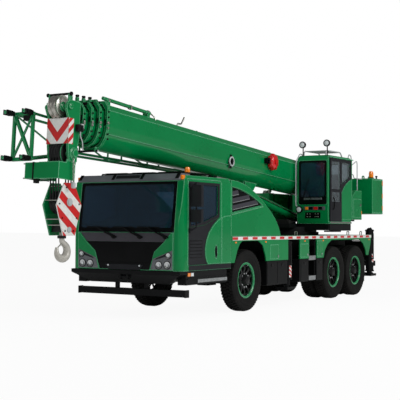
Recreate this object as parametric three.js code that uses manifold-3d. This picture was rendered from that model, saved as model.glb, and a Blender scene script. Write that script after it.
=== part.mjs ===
// Mobile crane: a three-axle truck carrier with four outriggers, a slewing upper
// works with its own cab, and a five-section telescopic boom with a hook block.
// Millimetres. +X is forward, +Y the vehicle's left, +Z up, the ground is z = 0.
// A name that ends in "Back" is a distance behind the carrier cab's front face.

import * as THREE from 'three';
import { mergeVertices } from 'three/addons/utils/BufferGeometryUtils.js';
import Module from 'manifold-3d';

const wasm = await Module();
wasm.setup();

// ---------------------------------------------------------------- driving sizes

const seatGap = 0.5;       // between pieces that rest on each other
const runningGap = 5;      // between pieces that move past each other
const panelGap = 4;        // round a door or a hatch

const vehicleWidth = 2500;
const deckTop = 1520;
const deckPlate = 79.5;
const skirtThickness = 25;
const skirtBottom = 1000;

const frontAxleBack = 2530;
const firstRearAxleBack = 6895;
const rearAxleSpacing = 1350;
const tyreRadius = 632;
const tyreWidth = 320;
const rimRadius = 360;
const twinPitch = 350;
const kingpinInset = 430;  // from the vehicle's side to the kingpin

const frameWidth = 900;
const frameBottom = 860;
const frameFrontBack = 3400;
const frameRearBack = 9900;
const railWidth = 80;
const railSpread = 800;
const railBottom = 760;
const railTop = 1000;
const railFrontBack = 300;

const cabLength = 1830;
const cabBottom = 900;
const cabRoof = 2660;
const cabWall = 60;
const cabRake = 120;       // how far the windscreen leans back at its top
const cabCorner = 150;     // plan radius of the front corners
const doorFrontBack = 250;
const doorRearBack = 1455;
const doorBottom = 1000;
const doorTop = 2590;

const beamWidth = 200;
const beamHeight = 275;
const beamTravelRoom = 250;
const boxWall = 25;
const boxMiddleWall = 60;
const boxHalfLength = 990;
const frontBoxBack = 4400;
const rearBoxBack = 9300;
const jackRadius = 105;
const jackLegRadius = 70;
const jackInset = 120;     // from the vehicle's side to the jack's centre
const jackBottom = 560;
const frontJackTop = 1400;
const rearJackTop = 1660;
const frontPadBottom = 340;
const rearPadBottom = 440;

const slewBack = 7000;
const slewRingRadius = 650;
const pedestalTop = 1600;
const platformBottom = 1700;
const platformTop = 1800;

const craneCabFrontBack = 6600;
const craneCabLength = 1470;
const craneCabOuter = 1200;
const craneCabRoof = 3460;
const craneCabWall = 40;

const counterweightFrontBack = 9460;
const counterweightRearBack = 10300;
const counterweightBottom = 2070;
const counterweightTop = 3020;
const counterweightHalf = 1200;

const boomSlope = THREE.MathUtils.degToRad(3.94);
const pivotBack = 9000;
const pivotHeight = 2650;
const boomHalfWidth = 320;
const boomSideRoom = 60;   // between the boom and the crane cab
const cheekRoom = 25;      // between the boom and its pivot cheeks
const cheekThickness = 50;
const boomAbovePivot = 555;
const boomBelowPivot = 245;
const boomWall = 12;
const boomStep = 40;       // how much smaller each section is, all round
const baseFront = 10080;   // along the boom, from the pivot to the base's collar
const collarPitch = 175;
const collarThickness = 55;
const collarRise = 42;

const luffBaseBack = 7400;
const luffBaseHeight = 1930;
const luffEyeBack = 4600;
const luffEyeHeight = 2500;

const sheaveRadius = 200;
const ropeRadius = 9;
const ropePitch = 60;
const ropeFalls = 4;
const lowerSheaveU = 10815;
const lowerSheaveV = -444;
const blockTopDrop = 500;  // from the head's lower sheave axle to the block's top

const jibRootU = 11150;
const jibTipU = 4700;
const forkReach = 250;     // the root forks, ahead of the jib's end frame

// ---------------------------------------------------------------- derived places

const half = vehicleWidth / 2;
const secondRearAxleBack = firstRearAxleBack + rearAxleSpacing;
const frameTop = deckTop - deckPlate - seatGap;
const frameHalf = frameWidth / 2;
const tyreCentre = half - tyreWidth / 2;
const twinCentre = half - (tyreWidth + twinPitch) / 2;
const craneCabInner = boomHalfWidth + boomSideRoom;
const kingpinY = half - kingpinInset;

// A point of the boom, "along" it from the pivot and "above" its pivot line,
// as a distance ahead of the pivot and a height above the ground.
const aheadOfPivot = (along, above) =>
  along * Math.cos(boomSlope) - above * Math.sin(boomSlope);
const heightOnBoom = (along, above) =>
  pivotHeight + along * Math.sin(boomSlope) + above * Math.cos(boomSlope);

// The root frame of the stowed fly jib reaches furthest forward, and the
// counterweight furthest back; the origin lies midway between them.
const jibRootBottom = -560;
const jibKneeBottom = -290;
const jibTube = 25;
const noseReach = aheadOfPivot(jibRootU + forkReach, jibRootBottom - jibTube) - pivotBack;
const cabFrontX = (counterweightRearBack - noseReach) / 2;
const at = (back) => cabFrontX - back;

// ---------------------------------------------------------------- making solids

function solid(geometry) {
  geometry.deleteAttribute('normal');
  geometry.deleteAttribute('uv');
  const merged = mergeVertices(geometry, 1e-4);
  return new wasm.Manifold(new wasm.Mesh({
    numProp: 3,
    vertProperties: new Float32Array(merged.attributes.position.array),
    triVerts: new Uint32Array(merged.index.array),
  }));
}

const join = (first, ...rest) => rest.reduce((whole, piece) => whole.add(piece), first);
const cut = (first, ...rest) => rest.reduce((whole, piece) => whole.subtract(piece), first);

function box(x0, x1, y0, y1, z0, z1) {
  const geometry = new THREE.BoxGeometry(Math.abs(x1 - x0), Math.abs(y1 - y0), Math.abs(z1 - z0));
  geometry.translate((x0 + x1) / 2, (y0 + y1) / 2, (z0 + z1) / 2);
  return solid(geometry);
}

// A box given by distances behind the cab's front face.
const boxBack = (back0, back1, y0, y1, z0, z1) => box(at(back1), at(back0), y0, y1, z0, z1);

const axisTurns = {
  x: new THREE.Matrix4().makeRotationZ(-Math.PI / 2),
  y: new THREE.Matrix4(),
  z: new THREE.Matrix4().makeRotationX(Math.PI / 2),
};

function rod(axis, radius, from, to, centre, sides = 24) {
  const geometry = new THREE.CylinderGeometry(radius, radius, Math.abs(to - from), sides);
  geometry.applyMatrix4(axisTurns[axis]);
  const place = { x: 0, y: 0, z: 0, ...centre };
  place[axis] = (from + to) / 2;
  geometry.translate(place.x, place.y, place.z);
  return solid(geometry);
}

// A straight tube of round section between two points.
function strut(from, to, radius, sides = 8) {
  const start = new THREE.Vector3(...from);
  const span = new THREE.Vector3(...to).sub(start);
  const geometry = new THREE.CylinderGeometry(radius, radius, span.length(), sides);
  geometry.translate(0, span.length() / 2, 0);
  const turn = new THREE.Quaternion();
  turn.setFromUnitVectors(new THREE.Vector3(0, 1, 0), span.clone().normalize());
  geometry.applyQuaternion(turn);
  geometry.translate(start.x, start.y, start.z);
  return solid(geometry);
}

function extruded(outline, depth, basis, offset) {
  const shape = outline instanceof THREE.Shape
    ? outline : new THREE.Shape(outline.map(([a, b]) => new THREE.Vector2(a, b)));
  const settings = { depth, bevelEnabled: false, curveSegments: 8 };
  const geometry = new THREE.ExtrudeGeometry(shape, settings);
  geometry.applyMatrix4(basis);
  geometry.translate(...offset);
  return solid(geometry);
}

const axisX = new THREE.Vector3(1, 0, 0);
const axisY = new THREE.Vector3(0, 1, 0);
const axisZ = new THREE.Vector3(0, 0, 1);
const sideBasis = new THREE.Matrix4().makeBasis(axisX, axisZ, axisY.clone().negate());
const frontBasis = new THREE.Matrix4().makeBasis(axisY, axisZ, axisX);

// Plates: a side outline of [x, z] points, a front one of [y, z], a plan of [x, y].
const sidePlate = (outline, y0, y1) =>
  extruded(outline, Math.abs(y1 - y0), sideBasis, [0, Math.max(y0, y1), 0]);
const frontPlate = (outline, x0, x1) => extruded(outline, x1 - x0, frontBasis, [x0, 0, 0]);
const planPlate = (outline, z0, z1) =>
  extruded(outline, z1 - z0, new THREE.Matrix4(), [0, 0, z0]);
const backOutline = (points) => points.map(([back, z]) => [at(back), z]);

// A turned piece about the Y axis from [radius, y] points, closed on the axis or
// on itself. Its flats lie square to the ground, so that a wheel stands on one.
const turnedSides = 20;
const flatRadius = (radius) => radius / Math.cos(Math.PI / turnedSides);

function turned(profile) {
  const points = profile.map(([radius, y]) => new THREE.Vector2(radius, y));
  return solid(new THREE.LatheGeometry(points, turnedSides, Math.PI / turnedSides));
}

const mirrored = (piece) => piece.mirror([0, 1, 0]);

// ---------------------------------------------------------------- finishes

const finishes = {
  green: { color: 0x0b7a3b, roughness: 0.35, metalness: 0.1 },
  darkGreen: { color: 0x0a5a2e, roughness: 0.45, metalness: 0.1 },
  black: { color: 0x17181a, roughness: 0.6, metalness: 0.2 },
  darkGrey: { color: 0x33363a, roughness: 0.6, metalness: 0 },
  tyre: { color: 0x151515, roughness: 0.9, metalness: 0 },
  glass: { color: 0x26343f, roughness: 0.05, metalness: 0 },
  chrome: { color: 0xd8d8d8, roughness: 0.15, metalness: 1 },
  steel: { color: 0x8c8f92, roughness: 0.4, metalness: 0.9 },
  fabric: { color: 0x2a2c30, roughness: 0.95, metalness: 0 },
};

const crane = new THREE.Group();

function node(name, piece, finish, parent = crane) {
  const mesh = piece.getMesh();
  const geometry = new THREE.BufferGeometry();
  geometry.setAttribute('position', new THREE.BufferAttribute(mesh.vertProperties, 3));
  geometry.setIndex(new THREE.BufferAttribute(mesh.triVerts, 1));
  geometry.computeVertexNormals();
  const settings = { ...finishes[finish], flatShading: true };
  const result = new THREE.Mesh(geometry, new THREE.MeshStandardMaterial(settings));
  result.name = name;
  parent.add(result);
  return result;
}

function placed(x, y, z, parent = crane) {
  const group = new THREE.Group();
  group.position.set(x, y, z);
  parent.add(group);
  return group;
}

// ---------------------------------------------------------------- chassis frame
// Two channel rails under the cab, a welded box behind them, two cross boxes
// for the outrigger beams, the slewing pedestal and the boom's travel rest.

const boxLength = 2 * (beamWidth + 2 * runningGap + boxWall) + boxMiddleWall;
const tunnelWidth = beamWidth + 2 * runningGap;
const tunnelCentre = { left: boxWall + tunnelWidth / 2, right: boxLength - boxWall - tunnelWidth / 2 };
const tunnelHeight = seatGap + beamHeight + runningGap;
const boxTop = frameBottom + tunnelHeight + boxWall;
const boomRestBack = 3200;
const boomRestHalfLength = 70;
const boomRestHalf = 150;
const boomRestLegs = [300, 400];
const boomRestBeam = { bottom: 2480, top: 2560 };
const pedestalRadius = slewRingRadius + 50;
const tailBeam = { depth: 80, bottom: frameBottom - 180, top: frameBottom - 40 };

function outriggerBox(frontBack) {
  return boxBack(frontBack, frontBack + boxLength, -boxHalfLength, boxHalfLength,
    frameBottom - boxWall, boxTop);
}

function outriggerTunnels(frontBack) {
  return ['left', 'right'].map((side) => {
    const centre = frontBack + tunnelCentre[side];
    return boxBack(centre - tunnelWidth / 2, centre + tunnelWidth / 2,
      -half, half, frameBottom, frameBottom + tunnelHeight);
  });
}

function boomUnderside(back, gap) {
  const along = (pivotBack - back - boomBelowPivot * Math.sin(boomSlope)) / Math.cos(boomSlope);
  return heightOnBoom(along, -boomBelowPivot) - gap;
}

function boomRest() {
  const front = boomRestBack - boomRestHalfLength;
  const rear = boomRestBack + boomRestHalfLength;
  const { bottom, top } = boomRestBeam;
  const legs = [-1, 1].map((side) => boxBack(front, rear, side * boomRestLegs[0],
    side * boomRestLegs[1], railTop - 20, top));
  const beam = boxBack(front, rear, -boomRestLegs[1], boomRestLegs[1], bottom, top);
  const saddle = sidePlate(backOutline([
    [front, top - 20], [rear, top - 20],
    [rear, boomUnderside(rear, seatGap)], [front, boomUnderside(front, seatGap)],
  ]), -boomRestHalf / 2, boomRestHalf / 2);
  return join(beam, ...legs, saddle);
}

function chassisFrame() {
  const weldedBox = boxBack(frameFrontBack, frameRearBack, -frameHalf, frameHalf,
    frameBottom, frameTop);
  const railInner = railSpread / 2 - railWidth;
  const rails = [-1, 1].map((side) => boxBack(railFrontBack, frameFrontBack + 100,
    side * railInner, side * railSpread / 2, railBottom, railTop));
  const crossMember = boxBack(railFrontBack + 60, railFrontBack + 160,
    -railSpread / 2, railSpread / 2, railBottom + 20, railTop - 20);
  const pedestal = rod('z', pedestalRadius, frameTop - 20, pedestalTop, { x: at(slewBack) }, 32);
  const tail = boxBack(frameRearBack, frameRearBack + tailBeam.depth, -half + 170, half - 170,
    tailBeam.bottom, tailBeam.top);
  const tailPlates = [-1, 1].map((side) => boxBack(frameRearBack - 200,
    frameRearBack + tailBeam.depth, side * (frameHalf - 60), side * (frameHalf - 120),
    tailBeam.bottom, frameBottom + 40));
  const whole = join(weldedBox, ...rails, crossMember, pedestal, boomRest(),
    outriggerBox(frontBoxBack), outriggerBox(rearBoxBack), tail, ...tailPlates);
  return cut(whole, ...outriggerTunnels(frontBoxBack), ...outriggerTunnels(rearBoxBack));
}

node('chassis_frame', chassisFrame(), 'black');

// ---------------------------------------------------------------- deck and skirts
// Chequer plate deck with the green side skirts, cut round the wheels, and the
// hood over the engine.

const deckFrontBack = cabLength + 15;
const deckRearBack = 9250;
const hoodFrontBack = deckFrontBack + 60;
const hoodRearBack = boomRestBack - boomRestHalfLength - 40;
const hoodHalf = 1100;
const hoodTop = 1960;
const hoodSheet = 20;
const archTop = deckTop - 110;
const ladderFrontBack = 5430;
const ladderRearBack = 5850;

const skirtOutlines = [
  // ahead of the front wheel
  [[deckFrontBack, skirtBottom], [frontAxleBack - 555, skirtBottom],
    [frontAxleBack - 440, 1245], [frontAxleBack - 330, 1380],
    [frontAxleBack - 230, archTop + 20], [frontAxleBack + 450, archTop + 20],
    [frontAxleBack + 650, 1330], [frontAxleBack + 760, 1130], [frontAxleBack + 800, skirtBottom],
    [frontBoxBack - 40, skirtBottom], [frontBoxBack - 40, deckTop - 20], [deckFrontBack, deckTop - 20]],
  // between the front outrigger and the ladder
  [[frontBoxBack + boxLength + 20, skirtBottom], [ladderFrontBack, skirtBottom],
    [ladderFrontBack, deckTop - 20], [frontBoxBack + boxLength + 20, deckTop - 20]],
  // round the rear wheels
  [[ladderRearBack, skirtBottom], [firstRearAxleBack - 665, skirtBottom],
    [firstRearAxleBack - 600, 1160], [firstRearAxleBack - 440, 1310],
    [firstRearAxleBack - 200, archTop], [secondRearAxleBack + 200, archTop],
    [secondRearAxleBack + 440, 1310], [secondRearAxleBack + 600, 1160],
    [secondRearAxleBack + 665, skirtBottom], [secondRearAxleBack + 800, skirtBottom],
    [deckRearBack - 60, 1280], [deckRearBack, deckTop - 20], [ladderRearBack, deckTop - 20]],
];

function deck() {
  const plate = boxBack(deckFrontBack, deckRearBack, -half, half, deckTop - deckPlate, deckTop);
  const skirts = skirtOutlines.flatMap((outline) => {
    const skirt = sidePlate(backOutline(outline), half - skirtThickness, half);
    return [skirt, mirrored(skirt)];
  });
  const hood = boxBack(hoodFrontBack, hoodRearBack, -hoodHalf, hoodHalf, deckTop - 10, hoodTop);
  const hoodRoom = boxBack(hoodFrontBack + hoodSheet, hoodRearBack - hoodSheet,
    -hoodHalf + hoodSheet, hoodHalf - hoodSheet, deckTop - deckPlate - 10, hoodTop - hoodSheet);
  const ringHole = rod('z', pedestalRadius + runningGap, deckTop - 200, deckTop + 200,
    { x: at(slewBack) }, 32);
  const legHoles = [-1, 1].map((side) => boxBack(
    boomRestBack - boomRestHalfLength - runningGap, boomRestBack + boomRestHalfLength + runningGap,
    side * (boomRestLegs[0] - runningGap), side * (boomRestLegs[1] + runningGap),
    deckTop - 200, deckTop + 200));
  return cut(join(plate, ...skirts, hood), hoodRoom, ringHole, ...legHoles);
}

node('deck', deck(), 'green');

// ---------------------------------------------------------------- side boxes
// Black lockers and the fuel tank under the deck, hung on a bracket rail from
// the frame, with the two ladder steps between them.

const lockerBottom = 480;
const lockerTop = skirtBottom - 10;
const lockerInner = 700;
const lockerOuter = half - 15;
const ladderSteps = [500, 960];
const bracketRail = { inner: 560, outer: 640, bottom: 700, top: 790 };
const frontLocker = [frameFrontBack - 20, frontBoxBack - 50];
const middleLocker = [frontBoxBack + boxLength + 30, ladderFrontBack];
const rearLocker = [ladderRearBack, firstRearAxleBack - tyreRadius - 50];

function sideBoxes(frontPiece) {
  const lockers = [middleLocker, rearLocker].map(([front, rear]) =>
    boxBack(front, rear, lockerInner, lockerOuter, lockerBottom, lockerTop));
  const rail = boxBack(frontLocker[0] + 20, rearLocker[1] - 20, bracketRail.inner,
    bracketRail.outer, bracketRail.bottom, bracketRail.top);
  const arms = [frontLocker, middleLocker, rearLocker].map(([front, rear]) =>
    boxBack((front + rear) / 2 - 60, (front + rear) / 2 + 60, bracketRail.outer - 10,
      lockerInner + 10, bracketRail.bottom, bracketRail.top));
  const hangers = [frontLocker, middleLocker, rearLocker].map(([front, rear]) =>
    boxBack((front + rear) / 2 - 60, (front + rear) / 2 + 60, frameHalf + seatGap,
      bracketRail.outer, bracketRail.bottom, frameBottom + 120));
  const steps = ladderSteps.map((bottom) =>
    boxBack(middleLocker[1] - 10, rearLocker[0] + 10, half - 300,
      half - skirtThickness - 2, bottom, bottom + 90));
  return join(frontPiece, ...lockers, rail, ...arms, ...hangers, ...steps);
}

function fuelTank() {
  const corner = 90;
  const outline = new THREE.Shape();
  const [y0, y1, z0, z1] = [lockerInner, lockerOuter, lockerBottom, lockerTop];
  outline.moveTo(y0 + corner, z0);
  outline.lineTo(y1 - corner, z0);
  outline.absarc(y1 - corner, z0 + corner, corner, -Math.PI / 2, 0);
  outline.lineTo(y1, z1 - corner);
  outline.absarc(y1 - corner, z1 - corner, corner, 0, Math.PI / 2);
  outline.lineTo(y0 + corner, z1);
  outline.absarc(y0 + corner, z1 - corner, corner, Math.PI / 2, Math.PI);
  outline.lineTo(y0, z0 + corner);
  outline.absarc(y0 + corner, z0 + corner, corner, Math.PI, Math.PI * 1.5);
  return frontPlate(outline, at(frontLocker[1]), at(frontLocker[0]));
}

const toolbox = boxBack(...frontLocker, lockerInner, lockerOuter, lockerBottom, lockerTop);
node('left_side_boxes', sideBoxes(toolbox), 'black');
node('right_side_boxes', mirrored(sideBoxes(fuelTank())), 'black');

// ---------------------------------------------------------------- engine
// The carrier's diesel between the rails, as one block.

const engineHalf = railSpread / 2 - railWidth - seatGap;
node('engine_block', boxBack(hoodFrontBack + 60, hoodRearBack - 60, -engineHalf, engineHalf,
  railTop - 180, deckTop - deckPlate - 40), 'steel');

// ---------------------------------------------------------------- front bumper
// Bumper, side steps under the doors and the under-run bar on its two hangers.

const bumperTop = cabBottom - runningGap;
const bumperBottom = 650;
const stepRearBack = 1680;
const underrunBack = 250;

function frontBumper() {
  const face = frontPlate([[-half, bumperTop], [-half, bumperTop - 60], [-900, bumperBottom],
    [900, bumperBottom], [half, bumperTop - 60], [half, bumperTop]], at(260), at(-20));
  const slope = sidePlate(backOutline([[-20, bumperTop], [-20, bumperTop - 70],
    [160, bumperBottom], [260, bumperBottom], [260, bumperTop]]), -half, half);
  const front = face.intersect(slope);
  const sides = [-1, 1].flatMap((side) => [
    boxBack(200, stepRearBack, side * 1060, side * (half - 10), 640, bumperTop),
    boxBack(240, stepRearBack, side * 1000, side * half, 735, 765),
  ]);
  const holders = [-1, 1].map((side) => boxBack(200, railFrontBack - seatGap,
    side * 325, side * 395, 780, bumperTop));
  const hangers = [-1, 1].map((side) => boxBack(underrunBack - 30, underrunBack + 30,
    side * 300, side * 370, 440, bumperTop - 20));
  const bar = boxBack(underrunBack - 60, underrunBack + 60, -1240, 1240, 420, 545);
  const railRoom = boxBack(railFrontBack, stepRearBack, -999, 999, bumperBottom - 50,
    bumperTop + 10);
  return join(front, ...sides, ...holders, ...hangers, bar).subtract(railRoom);
}

node('front_bumper', frontBumper(), 'black');

// ---------------------------------------------------------------- carrier cab
// A hollow pressed cab with a raked windscreen, rounded front corners and a
// pocket in its nose for the service panel.

const noseTop = 1600;
const noseHalf = half - cabCorner - 5;
const screenTop = 2550;
const panelDepth = 62;     // the pocket that the front panel fills
const rakeAt = (z) => cabRake * Math.max(0, z - noseTop) / (screenTop + 10 - noseTop);

function roundedNosePlan(halfWidth, corner, rearBack) {
  const shape = new THREE.Shape();
  shape.moveTo(at(rearBack), -halfWidth);
  shape.lineTo(at(corner), -halfWidth);
  shape.absarc(at(corner), -halfWidth + corner, corner, -Math.PI / 2, 0);
  shape.absarc(at(corner), halfWidth - corner, corner, 0, Math.PI / 2);
  shape.lineTo(at(rearBack), halfWidth);
  return shape;
}

function cabSolid(inset) {
  const side = sidePlate(backOutline([
    [inset, cabBottom + inset], [inset, noseTop],
    [cabRake + inset, screenTop + 10 - inset / 2], [cabRake + 140 + inset / 2, cabRoof - inset],
    [cabLength - inset, cabRoof - inset], [cabLength - inset, cabBottom + inset],
  ]), -half, half);
  const shoulder = half - inset;
  const front = frontPlate([[-shoulder, 0], [shoulder, 0], [shoulder, screenTop],
    [shoulder - 60, cabRoof - inset], [-shoulder + 60, cabRoof - inset], [-shoulder, screenTop]],
  at(cabLength), at(0));
  const plan = planPlate(roundedNosePlan(half - inset, cabCorner - inset / 2, cabLength),
    0, cabRoof);
  return side.intersect(front).intersect(plan);
}

// A slab that follows the windscreen's rake, between two depths behind it.
function rakedSlab(depth0, depth1, halfWidth, z0, z1) {
  return sidePlate(backOutline([
    [rakeAt(z0) + depth0, z0], [rakeAt(z0) + depth1, z0],
    [rakeAt(z1) + depth1, z1], [rakeAt(z1) + depth0, z1],
  ]), -halfWidth, halfWidth);
}

const screenHalf = 1103;
const screenRecess = 16;

function cabShell() {
  const floorBottom = railTop + seatGap;
  const underside = boxBack(cabWall, cabLength - cabWall, -half + cabWall, half - cabWall,
    0, floorBottom);
  const railWay = boxBack(cabLength - cabWall - 5, cabLength + 10, -railSpread / 2 - 60,
    railSpread / 2 + 60, 0, floorBottom);
  const hollow = cut(cabSolid(0), cabSolid(cabWall), underside, railWay);
  const bulkhead = boxBack(panelDepth + 3, 110, -half + cabCorner, half - cabCorner,
    cabBottom + 20, noseTop);
  const pocket = boxBack(-50, panelDepth, -noseHalf, noseHalf, cabBottom - 10, noseTop + 5);
  const screenSeat = rakedSlab(-60, screenRecess, screenHalf, noseTop + 7, screenTop - 2);
  const screenHole = rakedSlab(-60, 220, screenHalf - 35, noseTop + 42, screenTop - 37);
  const doorHoles = [-1, 1].map((side) => boxBack(doorFrontBack - panelGap,
    doorRearBack + panelGap, side * (half - cabWall - 1), side * (half + 10),
    doorBottom - seatGap, doorTop + panelGap));
  const rearWindow = boxBack(cabLength - 100, cabLength + 10, -500, 500, 2010, 2420);
  const floor = boxBack(panelDepth + 3, cabLength - cabWall + 5, -half + cabWall - 5, half - cabWall + 5,
    floorBottom, floorBottom + cabWall);
  const dashboard = sidePlate(backOutline([[100, 1060], [380, 1060], [520, 1480], [460, 1560],
    [140, 1590], [100, 1590]]), -half + cabWall + 60, half - cabWall - 60);
  const dashClear = rakedSlab(-60, 90, half, noseTop - 20, screenTop);
  return cut(join(cut(hollow, pocket), bulkhead, floor, cut(dashboard, dashClear)),
    screenSeat, screenHole, ...doorHoles, rearWindow);
}

node('cab_shell', cabShell(), 'green');

function cabFrontPanel() {
  const gap = 3;
  const panel = boxBack(0, panelDepth + 3 - seatGap, -noseHalf + gap, noseHalf - gap,
    cabBottom + 2, noseTop + 2);
  const grille = frontPlate([[-940, 1470], [-640, cabBottom + 20], [640, cabBottom + 20],
    [940, 1470]], at(15), at(-10));
  return cut(panel, grille);
}

node('cab_front_panel', cabFrontPanel(), 'green');

node('windscreen', rakedSlab(4, screenRecess - seatGap, screenHalf - 3, noseTop + 10,
  screenTop - 5), 'glass');

function roofVisor() {
  const gap = 1;
  const outline = backOutline([[55, 2585], [150, 2690], [430, 2690], [430, cabRoof + seatGap],
    [cabRake + 140, cabRoof + seatGap], [cabRake + gap - 5, screenTop + 10 + gap],
    [cabRake - 10, screenTop + 10 + gap]]);
  return sidePlate(outline, -1170, 1170);
}

node('roof_visor', roofVisor(), 'darkGrey');

function cabDoor() {
  const skin = cabSolid(0);
  const slab = boxBack(doorFrontBack, doorRearBack, half - cabWall, half + 1, doorBottom, doorTop);
  const glassOpening = sidePlate(backOutline([[doorFrontBack + 90, 1730],
    [doorFrontBack + 90, 2500], [doorRearBack - 130, 2500], [doorRearBack - 130, 1940],
    [doorFrontBack + 520, 1790]]), half - 200, half + 10);
  return cut(skin.intersect(slab), glassOpening);
}

node('left_door', cabDoor(), 'green');
node('right_door', mirrored(cabDoor()), 'green');

// Two mirror heads on a bent arm from the front edge of the door.
function mirrorSet() {
  const x = at(doorFrontBack + 45);
  const outer = half + 250;
  const post = { x: x - 45, y: outer - 130 };
  const arm = [
    strut([x, half + 40, 2470], [post.x, post.y, 2520], 16, 6),
    strut([post.x, post.y, 2530], [post.x, post.y, 1690], 16, 6),
    strut([x, half + 40, 1640], [post.x, post.y, 1700], 16, 6),
  ];
  const pads = [2470, 1640].map((z) =>
    box(x - 35, x + 35, half + seatGap, half + 45, z - 40, z + 40));
  const heads = [[2080, 2480], [1790, 2030]].map(([z0, z1]) =>
    box(x - 85, x - 5, outer - 220, outer, z0, z1));
  return join(...pads, ...arm, ...heads);
}

node('left_mirrors', mirrorSet(), 'darkGrey');
node('right_mirrors', mirrored(mirrorSet()), 'darkGrey');

// Two seats on one plinth across the cab floor.
const seatFrontBack = 780;
const seatRearBack = 1420;
const seatCentre = 600;

function cabSeats() {
  const floorTop = railTop + seatGap + 60;
  const plinth = boxBack(seatFrontBack + 40, seatRearBack - 20, -seatCentre - 300,
    seatCentre + 300, floorTop + seatGap, floorTop + 120);
  const seats = [-1, 1].flatMap((side) => [
    boxBack(seatFrontBack, seatRearBack - 100, side * (seatCentre - 270),
      side * (seatCentre + 270), floorTop + 110, floorTop + 420),
    boxBack(seatRearBack - 170, seatRearBack, side * (seatCentre - 260),
      side * (seatCentre + 260), floorTop + 400, floorTop + 1050),
  ]);
  return join(plinth, ...seats);
}

node('cab_seats', cabSeats(), 'fabric');

// ---------------------------------------------------------------- body fairings
// The curved side panels that run down from the cab roof to the deck.

const fairingRearBack = 4000;
const fairingKnee = { back: 3720, z: 1910 };
const louvrePoint = { back: 3150, z: 2165 };

function fairing() {
  const front = cabLength + 10;
  const outline = new THREE.Shape();
  outline.moveTo(at(front), deckTop + seatGap);
  outline.lineTo(at(front), cabRoof - 20);
  outline.bezierCurveTo(at(front + 650), cabRoof, at(front + 1350), 2300,
    at(fairingKnee.back), fairingKnee.z);
  outline.bezierCurveTo(at(fairingKnee.back + 140), fairingKnee.z - 130, at(fairingRearBack - 30), 1660,
    at(fairingRearBack), deckTop + seatGap);
  const panel = sidePlate(outline, half - 60, half);
  const louvre = new THREE.Shape();
  louvre.moveTo(at(front + 45), 1995);
  louvre.lineTo(at(front + 45), 2500);
  louvre.bezierCurveTo(at(front + 500), 2470, at(front + 950), 2330,
    at(louvrePoint.back), louvrePoint.z);
  const recess = sidePlate(louvre, half - 35, half + 10);
  const flange = box(at(fairingRearBack - 60), at(front), half - 110, half - 50,
    deckTop + seatGap, deckTop + 40);
  return cut(join(panel, flange), recess);
}

node('left_fairing', fairing(), 'green');
node('right_fairing', mirrored(fairing()), 'green');

// ---------------------------------------------------------------- axles
// The dead front axle on leaf springs, and the two driven housings behind.

const springCentre = railSpread / 2 - railWidth / 2;
const bossRadius = 60;

function frontAxle() {
  const x = at(frontAxleBack);
  const beamEnd = kingpinY - bossRadius - 15;
  const beam = box(x - 60, x + 60, -beamEnd, beamEnd, tyreRadius - 85, tyreRadius + 15);
  const necks = box(x - 45, x + 45, -kingpinY, kingpinY, tyreRadius - 70, tyreRadius);
  const bosses = [-1, 1].map((side) =>
    rod('z', bossRadius, tyreRadius - 70, tyreRadius, { x, y: side * kingpinY }));
  const springs = [-1, 1].flatMap((side) => [
    box(x - 40, x + 40, side * (springCentre - 45), side * (springCentre + 45),
      tyreRadius, tyreRadius + 60),
    box(x - 580, x + 580, side * (springCentre - 38), side * (springCentre + 38),
      tyreRadius + 50, tyreRadius + 100),
    box(x + 540, x + 580, side * (springCentre - 38), side * (springCentre + 38),
      tyreRadius + 60, railBottom - seatGap),
    box(x - 580, x - 540, side * (springCentre - 38), side * (springCentre + 38),
      tyreRadius + 60, railBottom - seatGap),
  ]);
  return join(beam, necks, ...bosses, ...springs);
}

node('front_axle', frontAxle(), 'black');

const knuckleArm = 60;
const spindleRadius = 45;

function knuckle() {
  const top = tyreRadius;
  const bottom = tyreRadius - 70;
  const web = bossRadius + runningGap;
  const arms = [[top + seatGap, top + knuckleArm], [bottom - knuckleArm, bottom - seatGap]]
    .flatMap(([z0, z1]) => [
      rod('z', bossRadius, z0, z1, {}),
      box(-bossRadius, bossRadius, 0, web + 40, z0, z1),
    ]);
  const plate = box(-bossRadius, bossRadius, web, web + 40, bottom - knuckleArm, top + knuckleArm);
  const reach = kingpinInset - tyreWidth / 2;
  const spindle = rod('y', spindleRadius, web + 20, reach + 118, { z: tyreRadius });
  const steeringArm = box(-260, -40, 20, 60, bottom - knuckleArm, bottom - 20);
  return join(arms[0], ...arms.slice(1), plate, spindle, steeringArm);
}

for (const [side, sign] of [['left', 1], ['right', -1]]) {
  const group = placed(at(frontAxleBack), sign * kingpinY, 0);
  const piece = sign > 0 ? knuckle() : mirrored(knuckle());
  node(`${side}_knuckle`, piece, 'black', group);
}

function rearAxle() {
  const tube = rod('y', 90, -620, 620, {}, 16);
  const spindle = rod('y', 64, -(twinCentre + 225), twinCentre + 225, {}, 16);
  const bulge = turned([[0, -190], [110, -175], [180, -90], [195, 0], [180, 90], [110, 175],
    [0, 190]]);
  const springs = [-1, 1].flatMap((side) => [
    box(-60, 60, side * (springCentre - 40), side * (springCentre + 40), 60, 130),
    box(-430, 430, side * (springCentre - 40), side * (springCentre + 40), 100, 160),
    box(-70, 70, side * (springCentre - 40), side * (springCentre + 40), 150,
      frameBottom - tyreRadius - seatGap),
  ]);
  return join(tube, spindle, bulge, ...springs);
}

[firstRearAxleBack, secondRearAxleBack].forEach((back, index) => {
  node(`rear_axle_${index + 1}`, rearAxle(), 'black', placed(at(back), 0, tyreRadius));
});

// ---------------------------------------------------------------- wheels
// Tyres are rings on steel disc wheels; a twin wheel is one rotating unit.

const beadGap = seatGap;

function tyreRing(centre) {
  const w = tyreWidth / 2 - 1;
  const bead = rimRadius + beadGap;
  const tread = flatRadius(tyreRadius);
  return [[bead, centre - 120], [tread - 150, centre - w], [tread, centre - w + 40],
    [tread, centre + w - 40], [tread - 150, centre + w], [bead, centre + 120],
    [bead, centre - 120]];
}

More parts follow.
